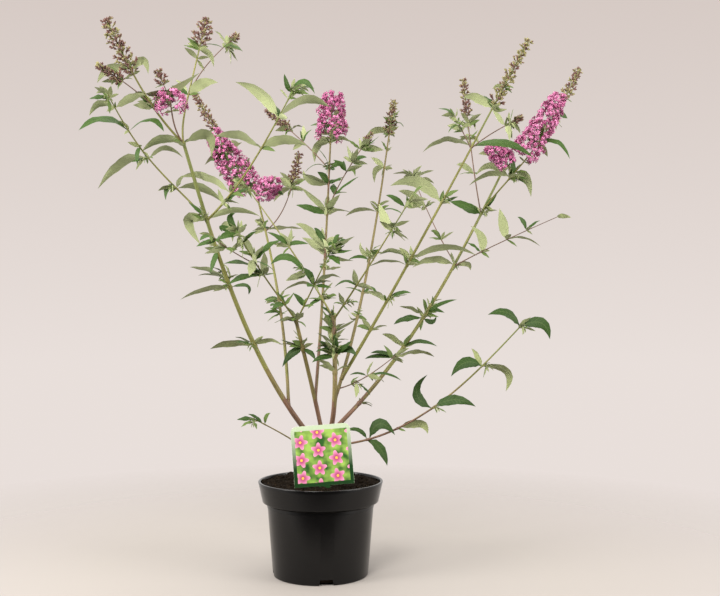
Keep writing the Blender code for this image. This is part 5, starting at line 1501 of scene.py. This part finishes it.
def label_mesh():
    """The label as a thin plate, its print laid out by its UV map, in its place."""
    work = bmesh.new()
    layer = work.loops.layers.uv.new("UVMap")
    half = LABEL_THICKNESS * 0.5
    rings = [[work.verts.new((x * inset, y * inset, z)) for x, y in label_outline()]
             for z, inset in ((-half, 0.997), (-half * 0.5, 1), (half * 0.5, 1), (half, 0.997))]
    bridge(work, rings)
    for face in work.faces:
        face.material_index = 1
    for ring, kind in ((rings[-1], 0), (rings[0][::-1], 1)):
        plate = work.faces.new(ring)
        plate.material_index = kind
        shoulders = [corner for corner in ring
                     if abs(abs(corner.co.x) - STAKE_WIDTH * 0.5) < CLEARANCE
                     and corner.co.y > -LABEL_HEIGHT * 0.5 - CLEARANCE]
        bmesh.utils.face_split(plate, *shoulders)
    for face in work.faces:
        for loop in face.loops:
            x, y = loop.vert.co.xy
            loop[layer].uv = (x / LABEL_WIDTH + 0.5, y / LABEL_HEIGHT + 0.5)
    turn = Matrix.Rotation(math.radians(-LABEL_ROLL), 4, "Y") @ Matrix.Rotation(
        math.radians(90 - LABEL_LEAN), 4, "X")
    bmesh.ops.transform(work, matrix=Matrix.Translation(LABEL_CENTRE) @ turn, verts=work.verts)
    return mesh_of(work, "label")


# ------------------------------------------------------------------ canes

def smooth(points, shares):
    """Places at some shares of a path, on a smooth curve through its points."""
    knots = np.array([2 * points[0] - points[1], *points, 2 * points[-1] - points[-2]])
    place = np.clip(np.asarray(shares, float), 0, 1) * (len(points) - 1)
    i = np.minimum(place.astype(int), len(points) - 2)
    t = (place - i)[:, None]
    a, b, c, d = knots[i], knots[i + 1], knots[i + 2], knots[i + 3]
    return 0.5 * (2 * b + (c - a) * t + (2 * a - 5 * b + 4 * c - d) * t ** 2
                  + (3 * b - a - 3 * c + d) * t ** 3)


class Canes:
    """Lines that become canes: their points, edges, thickness, length so far, tone and wood."""

    def __init__(self):
        self.places = []
        self.edges = []
        self.given = {"thickness": [], "along": [], "tone": [], "wood": []}

    def add(self, places, thickness, length, tone, wood):
        """One cane."""
        first = len(self.places)
        count = len(places)
        self.places += [tuple(place) for place in places]
        self.edges += [(first + i, first + i + 1) for i in range(count - 1)]
        start = len(self.edges) * CANE_OFFSET
        for label, values in (("thickness", thickness), ("tone", tone), ("wood", wood),
                              ("along", np.linspace(0, length, count) + start)):
            self.given[label] += list(np.broadcast_to(values, count))

    def show(self, name, sides, relief, tints, slot="cane", nodes=()):
        """The canes as one finished piece."""
        tree = bpy.data.node_groups.get("cane") or cane_tree()
        values = {"Sides": sides, "Relief": relief}
        values.update({f"Tone {i}": tone for i, tone in enumerate(cane_finishes(tints))})
        lines = point_mesh(name, self.places, self.edges, **self.given)
        return show(name, run_tree(lines, tree, values), [], nodes)


def swell(name, shares):
    """How much thicker a limb is at its leaf nodes and its fork, as a factor."""
    length = LIMBS[name].length
    metres = shares * length
    factor = 1 + FORK_SWELL * np.exp(-(metres / FORK_WIDTH) ** 2)
    for node in {line[0] for line in LEAVES.get(name, ())}:
        factor += NODE_SWELL * np.exp(-((metres - node * length) / NODE_WIDTH) ** 2)
    return factor


def wood_share(places, row):
    """How woody and brown a limb is at some places: 1 at the fork and 0 where it is green."""
    low = 1 - (places[:, 2] - WOOD_HEIGHT[0]) / (WOOD_HEIGHT[1] - WOOD_HEIGHT[0])
    return np.clip(low, 0, 1) * min(1, row.radius[0] / WOODY_RADIUS)


def add_limb(canes, name, points, start, end, step):
    """A limb between two shares of its length, swollen at its nodes."""
    row = LIMBS[name]
    count = max(4, math.ceil(row.length * (end - start) / step))
    shares = np.linspace(start, end, count + 1)
    places = smooth(points, shares)
    radii = (row.radius[0] + (row.radius[1] - row.radius[0]) * shares) * swell(name, shares)
    wood = wood_share(places, row)
    if row.radius[0] < THIN_SHOOT:
        tone = np.full(len(shares), SHOOT_TONE)
    else:
        green = CANE_TONE + TIP_TONE * np.clip((shares - 0.55) / 0.4, 0, 1)
        tone = green * (1 - wood) ** 0.8
    if name in BROWN_CANES:
        tone = np.minimum(tone, BROWN_CANES[name])
    canes.add(places, radii, row.length * (end - start), tone, 0.25 + 0.75 * wood)


def cane_finishes(tints):
    """The cane tones, from old bark through green cane to a red-brown shoot."""
    steps = ((tints.bark, 0.0005, 0.8), (tinted(tints.bark, tints.cane, 0.55), 0.0004, 0.6),
             (tints.cane, 0.0003, 0.45), (tinted(tints.cane, tints.leaf_young, 0.4), 0.0002, 0.4),
             (tints.shoot, 0.0002, 0.5))
    return [bpy.data.materials.get(f"cane_tone_{i}") or bark_finish(f"cane_tone_{i}", *step)
            for i, step in enumerate(steps)]


# ------------------------------------------------------------------ leaves

def blade_share(share):
    """A blade's half width along it, as a share of its widest: a stalk, a long oval, a point."""
    stalk = eased(share, 0.03, 0.10)
    oval = math.sin(math.pi * share ** 0.78) ** 0.95
    return max(0.055 * (1 - share), oval * stalk * stalk * (3 - 2 * stalk))


class Blades:
    """Leaves gathered into one mesh: two skins that meet at the edge, foot and tip."""

    COLUMNS = (-1.0, -0.52, 0.0, 0.52, 1.0)

    def __init__(self, rows, thickness):
        self.rows = rows
        self.thickness = thickness
        self.places = []
        self.faces = []
        self.uvs = []
        self.kinds = []

    def put(self, place):
        """Keep one corner, and give its number."""
        self.places.append(tuple(place))
        return len(self.places) - 1

    def add(self, leaf):
        """One leaf: folded along the midrib, its edges toothed, waved and curled down."""
        seed = random.Random(leaf.key + "-blade")
        fold, curl, wave, beat, phase = [seed.uniform(*pair) for pair in BLADE_BENDS]
        shares = [i / self.rows for i in range(self.rows + 1)]
        mids = smooth(leaf.points, shares)
        first = self.put(mids[0])
        grid = []
        for i in range(1, self.rows):
            share = shares[i]
            across, up = leaf.frame(share)[1:]
            half = leaf.width * 0.5 * blade_share(share) * (1 + BLADE_TOOTH * (-1) ** i)
            rows = ([], [])
            for t in self.COLUMNS:
                rise = fold * abs(t) - curl * t * t
                swing = beat * math.tau * share + phase + (1.4 if t > 0 else 0)
                rise += wave * math.sin(swing) * t * t * 2
                place = Vector(mids[i]) + across * (t * half) + up * (rise * half)
                if abs(t) == 1:
                    rows[0].append(self.put(place))
                    rows[1].append(rows[0][-1])
                    continue
                deep = self.thickness * 0.5 * (1 - abs(t)) + BLADE_EDGE
                rib = 0.5 * self.thickness if t == 0 else 0
                rows[0].append(self.put(place + up * (deep - rib * 0.6)))
                rows[1].append(self.put(place - up * (deep + rib)))
            grid.append(rows)
        tip = self.put(mids[-1])
        for side in (0, 1):
            self.skin([rows[side] for rows in grid], side, first, tip, shares,
                      leaf.age + len(AGE_AND_SHADE_TINTS) * side)

    def skin(self, grid, side, foot, tip, shares, kind):
        """The faces of one side of a leaf, in triangles, with their map and material."""
        rings = [None, *grid, None]
        us = [t * 0.5 + 0.5 for t in self.COLUMNS]
        for c in range(len(us) - 1):
            for i in range(len(rings) - 1):
                corners = []
                maps = []
                for at, order in ((i, (c, c + 1)), (i + 1, (c + 1, c))):
                    if rings[at] is None:
                        corners.append(tip if at else foot)
                        maps.append(((us[c] + us[c + 1]) / 2, shares[at]))
                        continue
                    corners += [rings[at][column] for column in order]
                    maps += [(us[column], shares[at]) for column in order]
                for a, b, d in ((0, 1, 2), (0, 2, 3))[:len(corners) - 2]:
                    order = (a, d, b) if side else (a, b, d)
                    self.faces.append([corners[k] for k in order])
                    self.uvs += [maps[k] for k in order]
                    self.kinds.append(kind)

    def mesh(self, name):
        """The gathered leaves as one mesh."""
        mesh = bpy.data.meshes.new(name)
        mesh.from_pydata(self.places, [], self.faces)
        mesh.uv_layers.new(name="UVMap")
        mesh.uv_layers[0].data.foreach_set("uv", np.array(self.uvs, np.float32).ravel())
        mesh.polygons.foreach_set("material_index", self.kinds)
        return mesh


# ------------------------------------------------------------------ blossom and buds

def floret_shape():
    """The four round lobes of an open floret, a unit across, facing +Z and closed behind."""
    work = bmesh.new()
    heart = work.verts.new((0, 0, -0.10))
    back = work.verts.new((0, 0, -0.16))
    rim = []
    for i in range(4):
        mid = math.tau * i / 4
        for turn, out, high in ((-0.78, 0.13, -0.05), (-0.38, 0.42, 0.02), (0, 0.52, -0.06),
                                (0.38, 0.42, 0.02)):
            rim.append(work.verts.new((out * math.cos(mid + turn), out * math.sin(mid + turn),
                                       high)))
    for i, corner in enumerate(rim):
        after = rim[(i + 1) % len(rim)]
        work.faces.new((heart, corner, after))
        work.faces.new((back, after, corner))
    return shape_object("floret", work)


def tube_shape():
    """A floret's tube and calyx, hanging a unit down from its mouth."""
    work = bmesh.new()
    rings = turned_rings(work, ((0.13, -0.08), (0.09, -0.35), (0.10, -0.70), (0.05, -1.0)), 5)
    bridge(work, [ring[::-1] for ring in rings])
    work.faces.new(rings[0])
    work.faces.new(rings[-1][::-1])
    return shape_object("tube", work)


def bud_shape():
    """A closed bud, a unit long, pointed, standing on its foot."""
    work = bmesh.new()
    rings = turned_rings(work, ((0.10, 0), (0.20, 0.22), (0.17, 0.55), (0.14, 0.80), (0, 1)), 5)
    bridge(work, rings)
    work.faces.new(rings[0][::-1])
    return shape_object("bud", work)


class Marks:
    """Points to set small shapes on: where, which way they face and how large."""

    def __init__(self):
        self.places = []
        self.aims = []
        self.sizes = []

    def add(self, place, aim, size):
        """One point."""
        self.places.append(tuple(place))
        self.aims.append(tuple(aim))
        self.sizes.append(size)

    def show(self, name, shape, size, material, seed):
        """The shape on every point, as one finished piece."""
        tree = bpy.data.node_groups.get("scatter") or scatter_tree()
        points = point_mesh(name, self.places, aim=self.aims, size=self.sizes)
        mesh = run_tree(points, tree, {"Shape": shape, "Size": size, "Seed": seed,
                                       "Material": material})
        return show(name, mesh, [])


def jitter(seed, spread):
    """A small random vector."""
    return Vector([seed.uniform(-spread, spread) for _ in range(3)])


def crossed(points, share, turn):
    """A path's direction, and one out of it that is turned about it."""
    axis = direction(points, share)
    return axis, Matrix.Rotation(math.radians(turn), 3, axis) @ axis.orthogonal().normalized()


def grow_bloom(name, points, head, length, florets):
    """Open blossom: crossed pairs of cymes round a limb, each a ball of florets."""
    start, end, radius, aside = head[1:]
    seed = random.Random(f"{name}-bloom")
    nodes = max(3, round(length * (end - start) / CYME_STEP))
    deep_share = FRESH_DEEP if name in FRESH_BLOOMS else OPEN_DEEP
    for node in range(nodes):
        part = (node + 0.5) / nodes
        share = mix((start, end), part)
        wide = radius * head_profile("bloom", part)
        for arm in range(4):
            axis, out = crossed(points, share, 90 * arm + 45 * (node % 2) + seed.uniform(-12, 12))
            spread = wide * seed.uniform(*CYME_SIZES)
            middle = along(points, share) + axis.cross(Vector((0, 1, 0))).normalized() * aside
            heart = middle + out * spread * CYME_REACH + axis * spread * CYME_RISE
            for _ in range(CYME_FLORETS):
                aim = (out + axis * CYME_UPWARD + jitter(seed, CYME_STRAY)).normalized()
                place = heart + aim * spread * CYME_RADIUS * seed.uniform(*CYME_DEPTHS)
                deep = seed.random() < deep_share + TIP_DEEP * part
                tilt = (aim + jitter(seed, 0.35)).normalized()
                florets[deep].add(place, tilt, seed.uniform(0.80, 1.10))
                florets["tubes"].add(place, tilt, seed.uniform(0.80, 1.05))


def grow_buds(name, points, head, length, buds, canes):
    """Closed buds: crossed pairs of branchlets that shorten up a spike, each with its cluster."""
    kind, start, end, radius = head[:4]
    seed = random.Random(f"{name}-buds")
    full = FULL_SPIKES.get(name, FULL_OTHERWISE)
    nodes = max(3, round(length * (end - start) / BUD_STEP))
    for node in range(nodes + 1):
        part = node / nodes
        share = mix((start, end), part)
        wide = full * radius * head_profile(kind, part) * (0.66 + 0.34 * (node % 2))
        olive = seed.random() < mix(OLIVE.get(name, OLIVE_OTHERWISE), part)
        for arm in range(4):
            axis, out = crossed(points, share, 90 * arm + 45 * node + seed.uniform(-18, 18))
            run = (out + axis * seed.uniform(0.5, 1.0)).normalized()
            foot = along(points, share)
            tip = foot + run * wide * seed.uniform(0.62, 0.88)
            canes.add([foot, foot.lerp(tip, 0.5), tip], BRANCHLET_RADII, wide,
                      OLIVE_TONE if olive else SHOOT_TONE, 0.2)
            count = 3 + round(wide / BUD_CROWDING)
            for bud in range(count):
                where = foot.lerp(tip, 1 - 0.6 * (bud / count) ** 1.5)
                aim = (run + jitter(seed, 0.9) + axis * 0.2).normalized()
                shade = olive if seed.random() < 0.75 else not olive
                buds[shade].add(where, aim, seed.uniform(0.70, 1.20))


# ------------------------------------------------------------------ operators

GROWN = []


def settings():
    """The sizes and the colours that the sidebar shows."""
    return bpy.context.scene.bush_sizes, bpy.context.scene.bush_colours


def bush_shapes():
    """The limbs' paths, and each limb's leaves and sprigs, grown once."""
    if not GROWN:
        paths = grow_limbs()
        masses, boughs = survey(paths)
        foliage = {}
        for mass, (_, rows) in MASSES.items():
            space = Space(mass, masses, boughs)
            for name, row in rows.items():
                foliage[name] = grow_foliage(space, mass, name, row, paths[name])
        GROWN.extend((paths, foliage))
    return GROWN


def heads_of(wanted):
    """Each flower head of one kind: its limb's name, path, the head and the limb's length."""
    paths = bush_shapes()[0]
    return [(name, paths[name], head, row.length) for name, row in LIMBS.items()
            for head in row.heads if head[0] == wanted]


class PieceOperator(bpy.types.Operator):
    """The shared part of the operators that make pieces."""

    bl_options = {"REGISTER", "UNDO"}

    def execute(self, context):
        """Make the pieces, or stop the script if one came out empty."""
        for piece in self.make(*settings()):
            if not len(piece.data.polygons):
                raise RuntimeError(f"{self.bl_label}: {piece.name} came out empty")
        return {"FINISHED"}


class BUSH_OT_pot(PieceOperator):
    """Turn the black pot, with its rim band and drainage notches"""

    bl_idname = "bush.pot"
    bl_label = "Pot"

    def make(self, sizes, tints):
        """The pot."""
        mesh = sweep_round("pot", pot_profile(sizes.pot_height, sizes.pot_rim))
        mesh = cut_notches(mesh, sizes.pot_rim - POT_TAPER)
        return [show("pot_shell", mesh, [plastic_finish("black_plastic", tints.pot)],
                     ["pot"], sharp=35)]


class BUSH_OT_compost(PieceOperator):
    """Fill the pot with lumpy compost and strew crumbs on it"""

    bl_idname = "bush.compost"
    bl_label = "Compost"

    def make(self, sizes, tints):
        """The compost and its crumbs."""
        peat = compost_finish("damp_peat", tints.compost)
        bed = sweep_round("compost", compost_profile(sizes.pot_height, sizes.pot_rim), lumps)
        crumb = crumb_shape()
        crumbs = run_tree(bed.copy(), crumb_tree(), {
            "Shape": crumb, "Density": sizes.crumbs, "Size": sizes.crumb, "Material": peat})
        bpy.data.objects.remove(crumb)
        return [show("compost_bed", bed, [peat], ["soil"]),
                show("compost_crumbs", crumbs, [])]


class BUSH_OT_label(PieceOperator):
    """Set the printed label in the compost"""

    bl_idname = "bush.label"
    bl_label = "Label"

    def make(self, sizes, tints):
        """The label."""
        face = print_finish("label_print", tints.label_green, tints.label_pink)
        blank = surface("label_back", (0.50, 0.56, 0.42), (40.0, 0.12), None,
                        {"Roughness": 0.35}).material
        return [show("plant_label", label_mesh(), [face, blank], ["label"], sharp=30)]


class BUSH_OT_boughs(PieceOperator):
    """Grow the trunk and the boughs, with their bark"""

    bl_idname = "bush.boughs"
    bl_label = "Trunk and Boughs"

    def make(self, sizes, tints):
        """The trunk and the boughs."""
        paths = bush_shapes()[0]
        trunk = Canes()
        shares = np.linspace(0, 1, 40)
        radii = [stem_radius(share) * (1 - (1 - STEM_CROWN) * share ** 12) for share in shares]
        trunk.add(smooth(paths["trunk"], shares), radii, STEM_LENGTH, 0.1, 1.0)
        boughs = Canes()
        for mass in BOUGHS:
            add_limb(boughs, mass, paths[mass], 0.0, MASSES[mass][0], BARK_STEP)
        return [trunk.show("trunk_bark", 28, sizes.bark_relief * 2, tints, "bark", ["trunk"]),
                boughs.show("bough_bark", 16, sizes.bark_relief, tints,
                            nodes=["bough_" + mass for mass in BOUGHS])]


class BUSH_OT_twigs(PieceOperator):
    """Grow the canes, side shoots and sprigs on from the boughs"""

    bl_idname = "bush.twigs"
    bl_label = "Canes and Twigs"

    def make(self, sizes, tints):
        """The canes that run on from the boughs, and their twigs."""
        paths, foliage = bush_shapes()
        canes = Canes()
        twigs = Canes()
        for mass, (split, rows) in MASSES.items():
            for name, row in rows.items():
                thick = row.radius[0] >= THIN_SHOOT
                add_limb(canes if thick else twigs, name, paths[name],
                         split if name == mass else 0.0, 1.0, BARK_STEP if thick else TWIG_STEP)
                for path in foliage[name][1]:
                    twigs.add(smooth(path, np.linspace(0, 1, 6)),
                              np.linspace(*SPRIG_RADIUS, 6), 0.03, SPRIG_TONE, 0.2)
        return [canes.show("canes", 12, sizes.bark_relief, tints,
                           nodes=["foliage_" + mass for mass in MASSES]),
                twigs.show("twigs", 7, sizes.bark_relief * 0.5, tints)]


class BUSH_OT_leaves(PieceOperator):
    """Grow the leaves in pairs, dark above and felted below"""

    bl_idname = "bush.leaves"
    bl_label = "Leaves"

    def make(self, sizes, tints):
        """The leaves, in one piece for each third of the bush."""
        foliage = bush_shapes()[1]
        finishes = [blade_finish(f"{side}_{age}", getattr(tints, f"{side}_{age}"), side == "leaf")
                    for side in ("leaf", "felt") for age in AGE_AND_SHADE_TINTS]
        made = []
        for third, masses in LEAF_PIECES.items():
            blades = Blades(sizes.leaf_rows, sizes.leaf_thickness)
            for mass in masses:
                for name in MASSES[mass][1]:
                    for leaf in foliage[name][0]:
                        blades.add(leaf)
            made.append(show("leaves_" + third, blades.mesh("leaves"), finishes,
                             ["foliage_" + mass for mass in masses], sharp=70))
        return made


class BUSH_OT_blossom(PieceOperator):
    """Open the florets on the blossom heads"""

    bl_idname = "bush.blossom"
    bl_label = "Blossom"

    def make(self, sizes, tints):
        """The florets, fresh and faded, and their tubes."""
        florets = {False: Marks(), True: Marks(), "tubes": Marks()}
        for head in heads_of("bloom"):
            grow_bloom(*head, florets)
        lobes = floret_shape()
        tube = tube_shape()
        made = [florets[kind].show(title, shape, sizes.floret * wide,
                                   petal_finish(title, tint), FLORET_SEED)
                for kind, title, tint, shape, wide in (
                    (False, "florets", tints.floret, lobes, 1.0),
                    (True, "florets_deep", tints.floret_deep, lobes, 1.0),
                    ("tubes", "floret_tubes", tints.throat, tube, 1.05))]
        bpy.data.objects.remove(lobes)
        bpy.data.objects.remove(tube)
        return made


class BUSH_OT_buds(PieceOperator):
    """Set the spikes of closed buds and their branchlets"""

    bl_idname = "bush.buds"
    bl_label = "Buds"

    def make(self, sizes, tints):
        """The buds, brown and olive, and the branchlets that carry them."""
        buds = {False: Marks(), True: Marks()}
        canes = Canes()
        for head in heads_of("buds"):
            grow_buds(*head, buds, canes)
        shape = bud_shape()
        made = [buds[kind].show(title, shape, sizes.bud, petal_finish(title, tint, 0.6), BUD_SEED)
                for kind, title, tint in ((False, "buds_brown", tints.bud_brown),
                                          (True, "buds_olive", tints.bud_olive))]
        bpy.data.objects.remove(shape)
        return made + [canes.show("branchlets", 4, 0.0, tints)]


class BUSH_OT_stage(bpy.types.Operator):
    """Set the floor, the studio light and the camera"""

    bl_idname = "bush.stage"
    bl_label = "Stage"
    bl_options = {"REGISTER", "UNDO"}

    def execute(self, context):
        """Make the stage."""
        tints = settings()[1]
        work = bmesh.new()
        bmesh.ops.create_circle(work, cap_ends=True, segments=96, radius=FLOOR_FADE[1])
        mesh = mesh_of(work, "floor")
        mesh.materials.append(floor_finish("studio_floor", tints.floor))
        floor = add_object("floor", mesh)
        scene = bpy.context.scene
        scene.view_settings.view_transform = "Standard"
        scene.world = make_world(tints.backdrop)
        for name, place, wide, watts in LIGHTS:
            lamp = bpy.data.lights.new(name, "AREA")
            lamp.shape = "DISK"
            lamp.size = wide
            lamp.energy = watts
            lamp.color = LIGHT_TINT
            holder = add_object(name, lamp)
            holder.location = place
            holder.rotation_euler = (LIGHT_AIM - Vector(place)).to_track_quat("-Z", "Y").to_euler()
        lens = bpy.data.cameras.new("camera")
        lens.lens = CAMERA_LENS
        eye = add_object("camera", lens)
        eye.location = CAMERA_PLACE
        eye.rotation_euler = (math.radians(90 + CAMERA_TILT), 0, 0)
        scene.camera = eye
        return {"FINISHED"}


def make_world(tint):
    """The pale backdrop that the camera sees, and the soft light, dim from the camera's side."""
    world = bpy.data.worlds.new("studio")
    world.use_nodes = True
    world.node_tree.nodes.clear()
    add = Maker(world.node_tree)
    way = add("ShaderNodeSeparateXYZ", {0: add("ShaderNodeTexCoord").outputs["Generated"]})
    y, z = way.outputs[1:]
    shade = add.blend(add.ramp(z, -0.05, 0.30), tint, tinted(tint, BACKDROP_TOP, 0.50))
    seen = add("ShaderNodeBackground", {"Color": shade, "Strength": 1.0})
    lit = add.math("ADD", add.ramp(y, -0.80, -0.25), add.ramp(z, 0.2, 0.6))
    strength = add("ShaderNodeMapRange", {0: lit, 3: WORLD_LIGHT[0], 4: WORLD_LIGHT[1]},
                   clamp=True).outputs[0]
    light = add("ShaderNodeBackground", {"Color": (1, 0.97, 0.94, 1), "Strength": strength})
    rays = add("ShaderNodeLightPath")
    both = add("ShaderNodeMixShader", {0: rays.outputs["Is Camera Ray"], 1: light.outputs[0],
                                       2: seen.outputs[0]})
    add("ShaderNodeOutputWorld", {"Surface": both.outputs[0]})
    return world


# ------------------------------------------------------------------ sidebar and main

OPERATORS = (BUSH_OT_pot, BUSH_OT_compost, BUSH_OT_label, BUSH_OT_boughs, BUSH_OT_twigs,
             BUSH_OT_leaves, BUSH_OT_blossom, BUSH_OT_buds, BUSH_OT_stage)


class BUSH_PT_panel(bpy.types.Panel):
    """The bush's sizes and colours, and a button for each piece"""

    bl_label = "Potted Butterfly Bush"
    bl_idname = "BUSH_PT_panel"
    bl_space_type = "VIEW_3D"
    bl_region_type = "UI"
    bl_category = "Bush"

    def draw(self, context):
        """List the settings and the operators."""
        column = self.layout.column()
        for group in settings():
            for name in group.bl_rna.properties.keys():
                if name not in {"rna_type", "name"}:
                    column.prop(group, name)
        for operator in OPERATORS:
            column.operator(operator.bl_idname)


CLASSES = (BushSizes, BushColours, *OPERATORS, BUSH_PT_panel)


def register():
    """Add the classes and the settings."""
    for item in CLASSES:
        bpy.utils.register_class(item)
    bpy.types.Scene.bush_sizes = PointerProperty(type=BushSizes)
    bpy.types.Scene.bush_colours = PointerProperty(type=BushColours)


def unregister():
    """Remove the settings and the classes."""
    del bpy.types.Scene.bush_colours
    del bpy.types.Scene.bush_sizes
    for item in reversed(CLASSES):
        bpy.utils.unregister_class(item)


def main():
    """Make every piece and the stage."""
    register()
    for operator in OPERATORS:
        getattr(bpy.ops.bush, operator.bl_idname.split(".")[1])()


if __name__ == "__main__":
    main()
